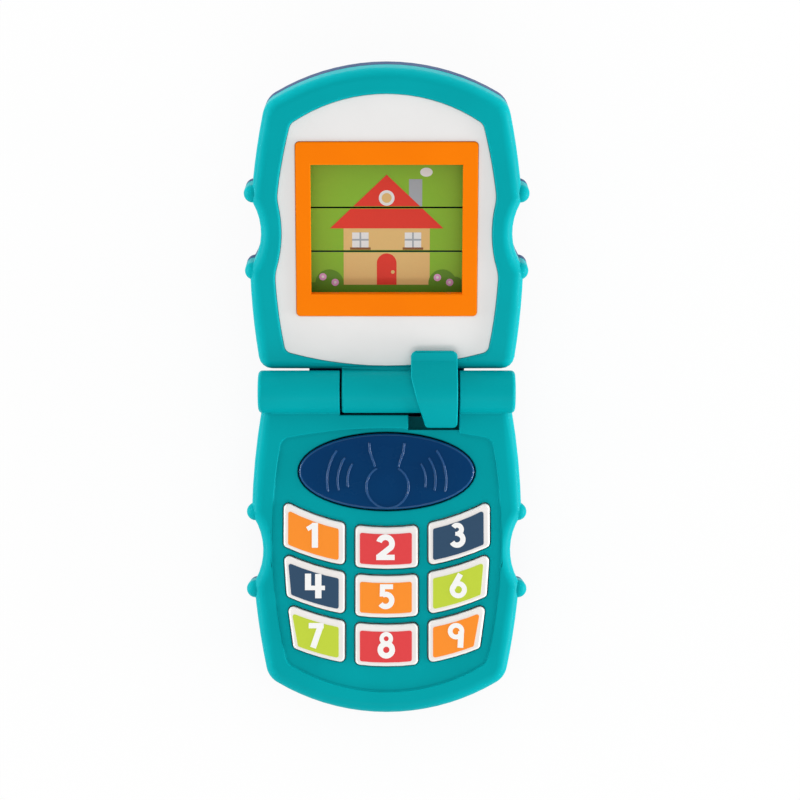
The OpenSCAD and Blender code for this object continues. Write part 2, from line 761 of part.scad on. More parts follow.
module lid_rear_cover() color(navy) in_lid() difference() {
    union() {
        difference() {
            union() {
                difference() {
                    rounded_rear(lid_outline, -lid_depth, -lid_split, rear_round);
                    slab(inset(lid_outline, wall), lid_floor, -lid_split + 1);
                }
                along(-neck_half_w, neck_half_w) polygon([
                    [-neck_reach, -barrel_r], [-neck_reach, -lid_depth + 3],
                    [-neck_reach + 2.7, -lid_depth + 0.3], [lid_start + 4, -lid_depth + 0.3],
                    [lid_start + 4, -lid_split], [lid_start - 0.3, -lid_split],
                    [lid_start - 0.3, -barrel_r]
                ]);
            }
            difference() {
                along(-neck_half_w + 1.6, neck_half_w - 1.6) polygon([
                    [-neck_reach + 1.3, -barrel_r], [-neck_reach + 1.3, -lid_depth + 3.8],
                    [-neck_reach + 3.2, lid_floor + 0.2], [lid_start + 6, lid_floor + 0.2],
                    [lid_start + 6, -lid_split - 1.2], [lid_start - 1.6, -lid_split - 1.2],
                    [lid_start - 1.6, -barrel_r]
                ]);
                rod(barrel_r + barrel_clear + 1.5, -neck_half_w, neck_half_w);
            }
        }
        bumps(1, -lid_split, -lid_depth + 3);
        at_case_screws(1) post(rear_post_r, -lid_depth + 1, -lid_split);
        rack_guide(yoke_from, yoke_from + yoke_w, lid_start + 3, rack_root + 0.2);
        rack_guide(rack_from, rack_from + rack_w, slat_at + cradle_half_h + 0.3, rack_root - 0.2);
    }
    rod(barrel_r + barrel_clear, -neck_half_w - 1, neck_half_w + 1);
    box([arm_from - 0.5, -neck_reach + 1.3, -barrel_r - 4], [yoke_from, lid_start, 0]);
    box([arm_from - 0.5, 0, -lid_split - 1.4], [yoke_from + yoke_w + 0.4, lid_start, -barrel_r - 1.6]);
    at_case_screws(1) rear_boss_holes(-lid_depth, lid_seat, -lid_split);
}

module lid_case_screws() color(steel) in_lid() at_case_screws(1) screw(lid_seat, 7.6);

module rounded_rect(half_w, half_h, r) {
    square([2 * half_w, 2 * half_h - 2 * r], center = true);
    square([2 * half_w - 2 * r, 2 * half_h], center = true);
    for (x = [-1, 1], y = [-1, 1]) translate([x * (half_w - r), y * (half_h - r)]) circle(r);
}

// The four posts that carry the slat cradle
function cradle_v(side) = frame_at + side * (frame_h / 2 + flange + boss_gap);
module at_cradle_posts() {
    for (x = [-cradle_u, cradle_u], side = [-1, 1]) translate([x, cradle_v(side), 0]) children();
}

module screen_plate() color(white) in_lid() difference() {
    union() {
        slab(plate_outline, plate_back, plate_front);
        difference() {
            slab(inset(plate_outline, -1), clamp, rim_under);
            slab(inset(plate_outline, 1.2), clamp - 1, plate_back);
            translate([0, frame_at, clamp - 1]) linear_extrude(plate_back - clamp + 1)
                rounded_rect(frame_half_w + flange + 0.2, frame_h / 2 + flange + 0.2, flange_corner_r);
            box([-case_half_w, 0, clamp - 1], [case_half_w, lid_start + wall + 0.3, rim_under + 1]);
            at_case_screws(1) post(front_post_r + 0.3, clamp - 1, clamp + 3);
        }
        at_cradle_posts() post(cradle_post_r, cradle_top, plate_back + bite);
    }
    translate([0, frame_at, plate_back - 1]) linear_extrude(6)
        rounded_rect(frame_half_w + 0.1, frame_h / 2 + 0.1, frame_corner_r + 0.1);
    at_cradle_posts() post(screw_r, clamp - 3, clamp + 1);
}

module screen_frame() color(orange) in_lid() difference() {
    translate([0, frame_at, 0]) {
        translate([0, 0, plate_back]) linear_extrude(plate_t + frame_proud)
            rounded_rect(frame_half_w, frame_h / 2, frame_corner_r);
        translate([0, 0, clamp]) linear_extrude(plate_back - clamp)
            rounded_rect(frame_half_w + flange, frame_h / 2 + flange, flange_corner_r);
    }
    translate([0, frame_at, plate_back - bite]) linear_extrude(10)
        square([2 * window_half_w, window_h], center = true);
    translate([0, slat_at, clamp - 1]) linear_extrude(plate_back - clamp + 1)
        square(2 * [cheek_left + 0.1, cradle_half_h - 0.2], center = true);
}

module at_slats() {
    for (i = [-1:1]) translate([0, slat_at + i * slat_pitch, -slat_depth]) children();
}

module slat_cradle() color(grey) in_lid() difference() {
    union() {
        translate([0, slat_at, 0]) {
            box([-cheek_left - cheek_t, -cradle_half_h, rack_back + 1], [-cheek_left, cradle_half_h, clamp]);
            box([cheek_right, -cradle_half_h, rack_back + 1], [cheek_right + 1.6, cradle_half_h, clamp]);
            for (v = [-cradle_half_h - end_t + 0.05, cradle_half_h - 0.05]) translate([0, v, 0])
                box([-cheek_left - cheek_t, 0, rack_line + 1.2], [cheek_right + 1.6, end_t, clamp]);
        }
        at_cradle_posts() post(cradle_post_r + 0.6, cradle_rear, cradle_top);
        for (x = [-cradle_u, cradle_u]) translate([x, 0, 0]) {
            box([-2, slat_at + cradle_half_h + 0.5, cradle_rear], [2, cradle_v(1), cradle_top]);
            box([-2, cradle_v(-1), cradle_rear], [2, slat_at - cradle_half_h - 0.5, cradle_top]);
        }
    }
    at_slats() rod(journal_r + 0.08, -cheek_left - 3, cheek_right + 3);
    at_cradle_posts() post(screw_hole_r, clamp - 6, clamp);
}

module cradle_screws() color(steel) in_lid() at_cradle_posts() screw(cradle_rear, 4.2);

// Slats, i from -1 at the bottom to 1 at the top

module slat(i) color(green) in_lid() translate([0, slat_at + i * slat_pitch, -slat_depth]) {
    along(-slat_half_w, slat_half_w) polygon([
        [0, -slat_swing_r], [slat_side / 2, slat_inner_r], [-slat_side / 2, slat_inner_r]
    ]);
    rod(journal_r, -cheek_left - cheek_t, -slat_half_w + 1);
    rod(1.7, -slat_half_w - 0.3, -slat_half_w + 1);
    rod(journal_r, slat_half_w - 1, cheek_right + 1.6);
}

// The rack tooth nearest to the slat sets the way the pinion faces
module pinion(i) color(grey) in_lid() {
    v = slat_at + i * slat_pitch;
    off = rack_tooth_v[0] - v;
    near = off - tooth_pitch * round(off / tooth_pitch);
    translate([0, v, -slat_depth]) difference() {
        along(pinion_from, pinion_from + pinion_w)
            rotate(-90 + 180 / pinion_teeth + near / pinion_r * 180 / PI) polygon(pinion_profile);
        rod(journal_r, pinion_from - 1, pinion_from + pinion_w + 1);
    }
}

module slat_rack() color(orange) in_lid() difference() {
    union() {
        along(rack_from, rack_from + rack_w) polygon(concat(
            [[rack_start, rack_root], [rack_start, rack_back], [rack_end, rack_back], [rack_end, rack_root]],
            [for (i = [rack_tooth_count - 1:-1:0]) let (v = rack_tooth_v[i]) each [
                [v + rack_half_root, rack_root], [v + rack_half_tip, rack_line + tooth_add],
                [v - rack_half_tip, rack_line + tooth_add], [v - rack_half_root, rack_root]
            ]]
        ));
        box([yoke_from, rack_start, rack_back], [rack_from + rack_w, rack_start + 4, rack_root]);
        along(yoke_from, yoke_from + yoke_w) translate([crank_rest[0], 0]) polygon([
            [-2.7, -7.6], [-2.7, rack_back + 0.6], [-2.1, rack_back], [18, rack_back], [18, rack_root],
            [4.2, rack_root], [2.3, -10.4], [2.3, -7.6]
        ]);
    }
    translate([0, crank_rest[0], 0])
        box([yoke_from - 1, -crank_pin_r - yoke_fit, -crank_r - crank_pin_r - 0.25],
            [yoke_from + yoke_w + 1, crank_pin_r + yoke_fit, crank_rest[1] + crank_pin_r + 0.25]);
}

// Lever

crank_rest = crank_r * [-sin(crank_half), -cos(crank_half)];

// Plan of the lever's press pad: its left edge leans to the right toward the keys
module lever_plan() {
    r = 1.6;
    left = lever_from + 0.3 + r;
    right = lever_to - r;
    places = [
        [right, lever_tip - r], [left, lever_tip - r], [left, 4.8],
        [left + 3.3, r - lever_tail], [right, r - lever_tail]
    ];
    hull() for (p = places) translate(p) circle(r, $fn = 32);
}

// Side view of the pad: a crown over the barrel and a flat tab over the lid
tab_low = 0.15;
tab_r = 0.45;
module lever_side() {
    hull() {
        intersection() {
            circle(lever_crown);
            translate([-10, 0]) square(20);
        }
        translate([7.6, 0.65]) circle(0.5, $fn = 32);
        translate([1.2 - lever_tail, 2]) circle(1.2, $fn = 32);
    }
    translate([barrel_r, tab_low]) square([lever_tip - tab_r - barrel_r, 2 * tab_r]);
    translate([lever_tip - tab_r, tab_low + tab_r]) circle(tab_r, $fn = 32);
}

module flip_lever() color(teal) in_lid() difference() {
    union() {
        difference() {
            intersection() {
                along(lever_from, lever_to) lever_side();
                translate([0, 0, -2]) linear_extrude(12) lever_plan();
            }
            rod(barrel_r + pad_clear, lever_from - 1, hub_from);
        }
        rod(barrel_r, hub_from, lever_to);
        rotate([-crank_half, 0, 0]) {
            box([arm_from, -arm_half, -crank_r], [arm_from + arm_w, arm_half, 0]);
            translate([0, 0, -crank_r]) rod(arm_half, arm_from, arm_from + arm_w);
            translate([0, 0, -crank_r]) rod(crank_pin_r, arm_from + 1.6, yoke_from + yoke_w + 0.3);
        }
    }
    rod(pin_r + pin_fit, lever_from - 1, lever_to + 1);
    rod(spring_space_r, lever_from - 1, spring_to + 0.5);
    translate([0, 0, spring_r]) rod(spring_hole_r, spring_to + 0.3, spring_to + 2.1);
}

spring_r = 2.8;
spring_wire = 0.35;
spring_turns = 4.25;
spring_steps = 51;
spring_space_r = spring_r + 1;
spring_hole_r = spring_wire + 0.2;
spring_from = lever_from + 0.5;
spring_to = lever_from + 3.7;

// Centre line of the wire: a leg into the lid's barrel, the coil, and a leg into the lever's hub
spring_path = concat(
    [[lever_from - 1.8, spring_r, 0]],
    [for (i = [0:spring_steps]) let (a = 360 * spring_turns * i / spring_steps)
        [spring_from + (spring_to - spring_from) * i / spring_steps, spring_r * cos(a), spring_r * sin(a)]],
    [[spring_to + 1.9, 0, spring_r]]
);

// Six points around the wire at each step, on the axes out from the hinge and along it
function wire_ring(i) =
    let (
        n = len(spring_path),
        p = spring_path[i],
        t = unit(spring_path[min(i + 1, n - 1)] - spring_path[max(i - 1, 0)]),
        out = unit([0, p[1], p[2]]),
        q = unit(cross(t, out)),
        s = cross(q, t)
    ) [for (a = [0:60:300]) p + spring_wire * (cos(a) * s + sin(a) * q)];

module lever_spring() color(steel) in_lid() loft([for (i = [0:len(spring_path) - 1]) wire_ring(i)]);

base_front_shell();
base_rear_cover();
base_case_screws();
hinge_pin();
hinge_plug();
key_mat();
key_plate();
key_plate_screws();
squeaker_bellows();
squeaker_reed();
squeaker_button();
for (i = [0:8]) key(i);
for (i = [0:8]) key_label(i);
lid_front_shell();
lid_rear_cover();
lid_case_screws();
screen_plate();
screen_frame();
slat_cradle();
cradle_screws();
flip_lever();
lever_spring();
slat_rack();
for (i = [-1:1]) slat(i);
for (i = [-1:1]) pinion(i);
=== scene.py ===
import json
import math

import bpy
from mathutils import Matrix, Vector

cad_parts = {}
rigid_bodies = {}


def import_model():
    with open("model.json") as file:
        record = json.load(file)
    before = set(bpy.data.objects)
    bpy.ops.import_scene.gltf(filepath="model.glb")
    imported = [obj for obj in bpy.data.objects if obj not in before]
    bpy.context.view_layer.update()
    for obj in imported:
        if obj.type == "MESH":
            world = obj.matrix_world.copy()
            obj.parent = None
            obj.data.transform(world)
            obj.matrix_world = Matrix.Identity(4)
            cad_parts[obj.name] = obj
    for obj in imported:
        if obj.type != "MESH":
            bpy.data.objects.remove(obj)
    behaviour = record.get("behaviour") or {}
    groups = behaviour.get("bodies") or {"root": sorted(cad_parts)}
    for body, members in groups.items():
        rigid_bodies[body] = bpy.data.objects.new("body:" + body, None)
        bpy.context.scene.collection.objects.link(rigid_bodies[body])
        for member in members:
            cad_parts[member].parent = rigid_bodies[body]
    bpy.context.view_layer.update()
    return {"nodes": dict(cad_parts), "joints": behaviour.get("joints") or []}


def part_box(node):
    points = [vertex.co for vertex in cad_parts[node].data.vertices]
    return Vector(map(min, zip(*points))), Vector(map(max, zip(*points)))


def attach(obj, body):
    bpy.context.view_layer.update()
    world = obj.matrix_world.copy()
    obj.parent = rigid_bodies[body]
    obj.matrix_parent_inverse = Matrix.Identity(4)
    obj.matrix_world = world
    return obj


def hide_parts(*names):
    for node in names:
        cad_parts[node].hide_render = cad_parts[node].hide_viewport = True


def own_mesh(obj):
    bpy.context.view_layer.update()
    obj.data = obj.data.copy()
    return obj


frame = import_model()
nodes = frame["nodes"]
joints = {joint["name"]: joint for joint in frame["joints"]}
mm = 0.001  # sizes below are in millimetres and angles in degrees
white = (1, 1, 1, 1)

# The hinge and the way the open lid points, from the frame
hinge = Vector(joints["lid_fold"]["pos_m"])
lidAway = Vector(joints["rack_slide"]["axis"]).normalized()
across = Vector((1, 0, 0))
up = Vector((0, 0, 1))
lidFront = across.cross(lidAway)
print("frame loaded:", len(nodes), "nodes")


def lidPoint(u, v, w):  # millimetres across, away from the hinge and to the front
    return hinge + (across * u + lidAway * v + lidFront * w) * mm


def inLid(point):  # the same three numbers, back from a place
    off = (point - hinge) / mm
    return off.dot(across), off.dot(lidAway), off.dot(lidFront)


def inBase(point):  # millimetres across, toward the keys and above the hinge axis
    off = (point - hinge) / mm
    return off.x, -off.y, off.z


# Materials

def linear(hexColour):
    channels = [int(hexColour[i:i + 2], 16) / 255 for i in (1, 3, 5)]
    return [c / 12.92 if c <= 0.04045 else ((c + 0.055) / 1.055) ** 2.4 for c in channels] + [1]


def addNode(tree, kind, settings=None, links=None):
    node = tree.nodes.new("ShaderNode" + kind)
    for key, value in (settings or {}).items():
        if isinstance(key, str) and hasattr(node, key):
            setattr(node, key, value)
        else:
            node.inputs[key].default_value = value
    for key, source in (links or {}).items():
        tree.links.new(source, node.inputs[key])
    return node


def startMaterial(name):
    material = bpy.data.materials.new(name)
    material.use_nodes = True
    material.node_tree.nodes.clear()
    return material, material.node_tree


def perMm(size):  # noise scale for a pattern that repeats about every size millimetres
    return 1 / (size * mm)


# Moulded thermoplastic: an even colour that drifts a little with the flow of the melt, a satin skin from the
# tool's fine spark finish, drawn coarser than real so that it shows, and a gloss that varies where hands
# polish it
mould = {
    "flow": 17, "flowDetail": 3.0, "flowRoughness": 0.55, "flowRange": (0.35, 0.7), "drift": 0.5,
    "polish": 5, "polishDetail": 4.0, "polishRange": (0.3, 0.7), "polishSpread": 0.05,
    "skin": 0.42, "skinDetail": 2.0, "skinDepth": 0.006, "ior": 1.53,
}


def mouldedPlastic(name, colour, deep, roughness, specular=0.3, skinStrength=0.35):
    material, tree = startMaterial(name)
    place = addNode(tree, "TexCoord").outputs["Object"]
    flow = addNode(tree, "TexNoise", {"Scale": perMm(mould["flow"]), "Detail": mould["flowDetail"],
                                      "Roughness": mould["flowRoughness"]}, {"Vector": place})
    thin, thick = mould["flowRange"]
    drift = addNode(tree, "MapRange", {"From Min": thin, "From Max": thick, "To Max": mould["drift"]},
                    {"Value": flow.outputs["Fac"]})
    tint = addNode(tree, "Mix", {"data_type": "RGBA", 6: linear(colour), 7: linear(deep)},
                   {0: drift.outputs[0]})
    polish = addNode(tree, "TexNoise", {"Scale": perMm(mould["polish"]), "Detail": mould["polishDetail"]},
                     {"Vector": place})
    rubbed, dull = mould["polishRange"]
    gloss = addNode(tree, "MapRange", {"From Min": rubbed, "From Max": dull,
                                       "To Min": roughness - mould["polishSpread"],
                                       "To Max": roughness + mould["polishSpread"]},
                    {"Value": polish.outputs["Fac"]})
    skin = addNode(tree, "TexNoise", {"Scale": perMm(mould["skin"]), "Detail": mould["skinDetail"]},
                   {"Vector": place})
    relief = addNode(tree, "Bump", {"Strength": skinStrength, "Distance": mould["skinDepth"] * mm},
                     {"Height": skin.outputs["Fac"]})
    shader = addNode(tree, "BsdfPrincipled", {"IOR": mould["ior"], "Specular IOR Level": specular},
                     {"Base Color": tint.outputs[2], "Roughness": gloss.outputs[0],
                      "Normal": relief.outputs[0]})
    addNode(tree, "OutputMaterial", {}, {"Surface": shader.outputs[0]})
    return material


# Pad-printed ink: a thin even film with a slight orange peel and cover that is not quite even
ink = {
    "cover": 0.9, "coverDetail": 3.0, "coverRange": (0.4, 0.75), "coverSpread": 0.16,
    "peel": 0.7, "peelDepth": 0.003, "peelStrength": 0.3, "roughness": 0.4, "ior": 1.48, "specular": 0.25,
}


def printedInk(name, colour, thin):
    material, tree = startMaterial(name)
    place = addNode(tree, "TexCoord").outputs["Object"]
    cover = addNode(tree, "TexNoise", {"Scale": perMm(ink["cover"]), "Detail": ink["coverDetail"]},
                    {"Vector": place})
    full, bare = ink["coverRange"]
    uneven = addNode(tree, "MapRange", {"From Min": full, "From Max": bare, "To Max": ink["coverSpread"]},
                     {"Value": cover.outputs["Fac"]})
    tint = addNode(tree, "Mix", {"data_type": "RGBA", 6: linear(colour), 7: linear(thin)},
                   {0: uneven.outputs[0]})
    peel = addNode(tree, "TexNoise", {"Scale": perMm(ink["peel"])}, {"Vector": place})
    relief = addNode(tree, "Bump", {"Strength": ink["peelStrength"], "Distance": ink["peelDepth"] * mm},
                     {"Height": peel.outputs["Fac"]})
    shader = addNode(tree, "BsdfPrincipled", {"Roughness": ink["roughness"], "IOR": ink["ior"],
                                              "Specular IOR Level": ink["specular"]},
                     {"Base Color": tint.outputs[2], "Normal": relief.outputs[0]})
    addNode(tree, "OutputMaterial", {}, {"Surface": shader.outputs[0]})
    return material


# Plated steel: bright or blackened, clouded by the bath, with drawn lines coarser than real so that they show
plating = {"line": 0.12, "lineDetail": 1.0, "lineDepth": 0.004, "lineStrength": 0.25, "bloom": 1.6,
           "bloomDetail": 3.0}


def platedSteel(name, colour, bloomColour, roughness):
    material, tree = startMaterial(name)
    place = addNode(tree, "TexCoord").outputs["Object"]
    bloom = addNode(tree, "TexNoise", {"Scale": perMm(plating["bloom"]), "Detail": plating["bloomDetail"]},
                    {"Vector": place})
    tint = addNode(tree, "Mix", {"data_type": "RGBA", 6: linear(colour), 7: linear(bloomColour)},
                   {0: bloom.outputs["Fac"]})
    line = addNode(tree, "TexNoise", {"Scale": perMm(plating["line"]), "Detail": plating["lineDetail"]},
                   {"Vector": place})
    relief = addNode(tree, "Bump", {"Strength": plating["lineStrength"],
                                    "Distance": plating["lineDepth"] * mm},
                     {"Height": line.outputs["Fac"]})
    shader = addNode(tree, "BsdfPrincipled", {"Metallic": 1.0, "Roughness": roughness},
                     {"Base Color": tint.outputs[2], "Normal": relief.outputs[0]})
    addNode(tree, "OutputMaterial", {}, {"Surface": shader.outputs[0]})
    return material


# Casing ABS: satin and deep in colour, with hardly a highlight
tealAbs = mouldedPlastic("moulded_teal_abs", "#01A5AC", "#019CA3", roughness=0.4, specular=0.03)
navyAbs = mouldedPlastic("moulded_navy_abs", "#063C6E", "#053562", roughness=0.4, specular=0.04)
orangeAbs = mouldedPlastic("moulded_orange_abs", "#FB7F00", "#F67800", roughness=0.42, specular=0.04)
# Plate and key ABS: off-white, with a soft sheen along the edges
whiteAbs = mouldedPlastic("moulded_white_abs", "#ECEBEA", "#E6E5E4", roughness=0.38, specular=0.2)
capAbs = mouldedPlastic("moulded_keycap_abs", "#F2EEEB", "#EAE6E2", roughness=0.36)
# Button ABS: smoother; its edge and lines are glossier and painted a lighter blue, a painted highlight where
# they catch the light
buttonAbs = mouldedPlastic("moulded_button_abs", "#003868", "#003060", roughness=0.26, specular=0.06)
glossAndPaintedHighlightAbs = mouldedPlastic("moulded_glossy_abs_painted_highlight", "#0A4578", "#063C6E", roughness=0.2, specular=0.36,
                             skinStrength=0.1)
# Inner mouldings: acetal, dull and waxy, and soft PVC, duller still
greyAcetal = mouldedPlastic("moulded_grey_acetal", "#B9BDC1", "#AEB3B8", roughness=0.42)
softPvc = mouldedPlastic("moulded_soft_pvc", "#D9D4C8", "#CFC9BB", roughness=0.55)
# Steel: zinc that gleams unevenly, and a blackened pin kept nearly black, painted shade for the gaps between
# the hinge knuckles
zincSteel = platedSteel("zinc_plated_steel", "#C6C9CE", "#AEB4BC", roughness=0.34)
blackenedSteelPaintedShade = platedSteel("blackened_steel_painted_gap_shade", "#1C1D20", "#131416", roughness=0.5)
whiteInk = printedInk("ink_white", "#F8F8F6", "#EFEFEB")
print("materials made:", len(bpy.data.materials))

# Camera straight above, where the photograph was taken from
shot = {"height": 560, "aside": 0.05, "along": 0.86, "lens": 102.9, "sensor": 36, "nearest": 10,
        "shift": (0.0164, -0.0148)}
camera = bpy.data.objects.new("camera", bpy.data.cameras.new("camera"))
bpy.context.scene.collection.objects.link(camera)
camera.location = hinge + Vector((shot["aside"], shot["along"], shot["height"])) * mm
camera.data.lens = shot["lens"]
camera.data.sensor_width = shot["sensor"]
camera.data.shift_x, camera.data.shift_y = shot["shift"]
camera.data.clip_start = shot["nearest"] * mm
bpy.context.scene.camera = camera
bpy.context.scene.view_settings.view_transform = "Standard"

# Soft studio light: a pale room that is dimmer overhead, and wide lamps just above the floor that light the
# roundings; the far one leaves no glint of itself
studio = {
    "overhead": 0.72, "horizon": 0.92, "fadeFrom": 0.25, "fadeTo": 0.9,
    "distance": 700, "lampSize": (520, 90),
    "lamps": [
        {"name": "lampRight", "azimuth": -8, "rise": 4, "power": 4.8, "glints": True},
        {"name": "lampLeft", "azimuth": 176, "rise": 4, "power": 3.0, "glints": True},
        {"name": "lampFar", "azimuth": 90, "rise": 5, "power": 1.8, "glints": False},
        {"name": "lampNear", "azimuth": -90, "rise": 50, "power": 0.6, "glints": True},
    ],
}
world = bpy.data.worlds.new("room")
world.use_nodes = True
sky = world.node_tree
sky.nodes.clear()
upward = addNode(sky, "SeparateXYZ", {}, {0: addNode(sky, "TexCoord").outputs["Generated"]})
dimmer = addNode(sky, "MapRange", {"From Min": studio["fadeFrom"], "From Max": studio["fadeTo"],
                                   "To Min": studio["horizon"], "To Max": studio["overhead"]},
                 {"Value": upward.outputs[2]})
pale = addNode(sky, "Background", {"Color": white}, {"Strength": dimmer.outputs[0]})
addNode(sky, "OutputWorld", {}, {"Surface": pale.outputs[0]})
bpy.context.scene.world = world
for lamp in studio["lamps"]:
    light = bpy.data.objects.new(lamp["name"], bpy.data.lights.new(lamp["name"], "AREA"))
    bpy.context.scene.collection.objects.link(light)
    light.data.energy = lamp["power"]
    light.visible_glossy = lamp["glints"]
    light.data.shape = "RECTANGLE"
    light.data.size, light.data.size_y = (side * mm for side in studio["lampSize"])
    azimuth, rise = math.radians(lamp["azimuth"]), math.radians(lamp["rise"])
    aim = Vector((math.cos(azimuth) * math.cos(rise), math.sin(azimuth) * math.cos(rise), math.sin(rise)))
    light.location = hinge + aim * studio["distance"] * mm
    light.rotation_euler = (-aim).to_track_quat("-Z", "Y").to_euler()

# Pale floor under the rear face, lifted toward white for the camera with the shadow kept
floorPlan = {"size": 6000, "below": 0.1, "colour": "#FAFAFA", "shade": "#F4F4F3", "fibre": 40, "lift": 0.9}
bpy.ops.mesh.primitive_plane_add(size=floorPlan["size"] * mm,
                                 location=(0, hinge.y, -floorPlan["below"] * mm))
floor = bpy.context.object
floor.name = "floor"
paper, tree = startMaterial("white_paper_sweep")
fibre = addNode(tree, "TexNoise", {"Scale": perMm(floorPlan["fibre"])},
                {"Vector": addNode(tree, "TexCoord").outputs["Object"]})
pale = addNode(tree, "Mix", {"data_type": "RGBA", 6: linear(floorPlan["colour"]),
                             7: linear(floorPlan["shade"])}, {0: fibre.outputs["Fac"]})
matte = addNode(tree, "BsdfDiffuse", {}, {"Color": pale.outputs[2]})
glow = addNode(tree, "Emission", {"Color": white, "Strength": 1.0})
path = addNode(tree, "LightPath")
seen = path.outputs["Is Camera Ray"]
for ray in ("Is Glossy Ray", "Is Transmission Ray"):
    seen = addNode(tree, "Math", {"operation": "MAXIMUM"}, {0: seen, 1: path.outputs[ray]}).outputs[0]
lift = addNode(tree, "Math", {"operation": "MULTIPLY", 1: floorPlan["lift"]}, {0: seen})
mixed = addNode(tree, "MixShader", {}, {0: lift.outputs[0], 1: matte.outputs[0], 2: glow.outputs[0]})
addNode(tree, "OutputMaterial", {}, {"Surface": mixed.outputs[0]})
floor.data.materials.append(paper)
print("camera, light and floor placed")


# Tools used on many pieces
bench = {"weld": 0.002, "flat": 1, "bevelWeld": 0.004, "round": 0.5, "flatWeight": 80, "near": 0.05}


def pick(piece, *others):
    bpy.ops.object.select_all(action="DESELECT")
    for other in others:
        other.select_set(True)
    piece.select_set(True)
    bpy.context.view_layer.objects.active = piece


def castOf(node, name):  # a copy of a CAD solid with its triangles joined up again, to be finished by hand
    piece = bpy.data.objects.new(name, nodes[node].data.copy())
    bpy.context.scene.collection.objects.link(piece)
    piece.data.materials.clear()
    pick(piece)
    bpy.ops.mesh.customdata_custom_splitnormals_clear()
    bpy.ops.object.mode_set(mode="EDIT")
    bpy.ops.mesh.select_all(action="SELECT")
    bpy.ops.mesh.remove_doubles(threshold=bench["weld"] * mm)
    bpy.ops.mesh.dissolve_limited(angle_limit=math.radians(bench["flat"]))
    bpy.ops.object.mode_set(mode="OBJECT")
    return piece


def keepEdges(piece, where):  # of the edges that are selected, keeps those whose middle passes the test
    bpy.ops.object.mode_set(mode="OBJECT")
    points = piece.data.vertices
    chosen = []
    for edge in piece.data.edges:
        a, b = (points[i].co for i in edge.vertices)
        if edge.select and where((a + b) / 2):
            chosen.append(edge.index)
    for item in [*points, *piece.data.edges, *piece.data.polygons]:
        item.select = False
    for index in chosen:
        piece.data.edges[index].select = True
        for i in piece.data.edges[index].vertices:
            points[i].select = True
    bpy.ops.object.mode_set(mode="EDIT")
    return len(chosen)


def breakEdges(piece, where, width, steps=3, sharp=40):  # rounds the sharp edges whose middle passes the test
    pick(piece)
    bpy.ops.object.mode_set(mode="EDIT")
    bpy.ops.mesh.select_mode(type="EDGE")
    bpy.ops.mesh.select_all(action="DESELECT")
    bpy.ops.mesh.edges_select_sharp(sharpness=math.radians(sharp))
    if keepEdges(piece, where):
        bpy.ops.mesh.bevel(offset=width * mm, segments=steps, profile=bench["round"], affect="EDGES",
                           clamp_overlap=False)
    bpy.ops.mesh.select_all(action="SELECT")
    bpy.ops.mesh.remove_doubles(threshold=bench["bevelWeld"] * mm)
    bpy.ops.object.mode_set(mode="OBJECT")


def anywhere(point):
    return True


def faceOutwards():  # ends an edit: all faces turned outwards, and back to object mode
    bpy.ops.mesh.select_all(action="SELECT")
    bpy.ops.mesh.normals_make_consistent(inside=False)
    bpy.ops.object.mode_set(mode="OBJECT")


def applyModifier(piece, kind, **settings):
    pick(piece)
    bpy.ops.object.modifier_add(type=kind)
    for key, value in settings.items():
        setattr(piece.modifiers[-1], key, value)
    bpy.ops.object.modifier_apply(modifier=piece.modifiers[-1].name)


def evenShading(piece, angle=38):  # smooth rounds, with the broad flats kept flat
    pick(piece)
    bpy.ops.object.shade_smooth_by_angle(angle=math.radians(angle))
    applyModifier(piece, "WEIGHTED_NORMAL", keep_sharp=True, weight=bench["flatWeight"])


def joinAll(pieces, name):
    pick(pieces[0], *pieces[1:])
    if len(pieces) > 1:
        bpy.ops.object.join()
    pieces[0].name = name
    return pieces[0]


def separated(piece):  # the loose solids of a piece, each an object of its own
    before = set(bpy.data.objects)
    pick(piece)
    bpy.ops.object.mode_set(mode="EDIT")
    bpy.ops.mesh.select_all(action="SELECT")
    bpy.ops.mesh.separate(type="LOOSE")
    bpy.ops.object.mode_set(mode="OBJECT")
    return [piece] + [other for other in bpy.data.objects if other not in before]


def middleOf(piece):
    return sum((point.co for point in piece.data.vertices), Vector()) / len(piece.data.vertices)


def dress(piece, material, slot, body, *replaced):
    if material:
        piece.data.materials.clear()
        piece.data.materials.append(material)
    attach(piece, body)
    if replaced:
        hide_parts(*replaced)


# Casings: teal fronts and navy rears, with half of a fine groove on each where a front meets its rear
seam = {"width": 0.2, "near": 0.03, "middle": 38, "lidLevel": -9, "lookOut": 0.5, "lookIn": 0.25}
baseSplit = Vector((0, hinge.y - seam["middle"] * mm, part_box("base_rear_cover")[1][2]))
lidSplit = lidPoint(0, seam["middle"], seam["lidLevel"])


def outermost(piece, point, hub, inward):  # true where none of the piece lies further out beside this place
    out = point - hub
    out = (out - inward * out.dot(inward)).normalized()
    return not piece.ray_cast(point + (out * seam["lookOut"] + inward * seam["lookIn"]) * mm, out)[0]


def chamferSeam(piece, hub, inward):
    level = hub.dot(inward)

    def onSeam(point):
        flush = abs(point.dot(inward) - level) < seam["near"] * mm
        return flush and outermost(piece, point, hub, inward)

    breakEdges(piece, onSeam, seam["width"], steps=1)


# Base front: the edges of its openings broken
baseFace = {"edge": 0.3, "openAbove": -1.6, "openHalf": 28.5}


def openingEdge(point):
    u, v, w = inBase(point)
    return w > baseFace["openAbove"] and abs(u) < baseFace["openHalf"]


baseFront = castOf("base_front_shell", "baseFrontCasing")
breakEdges(baseFront, openingEdge, baseFace["edge"])
chamferSeam(baseFront, baseSplit, up)
evenShading(baseFront)
dress(baseFront, tealAbs, "teal_plastic", "base", "base_front_shell")

baseRear = castOf("base_rear_cover", "baseRearCasing")
chamferSeam(baseRear, baseSplit, -up)
evenShading(baseRear)
dress(baseRear, navyAbs, "navy_plastic", "base", "base_rear_cover")

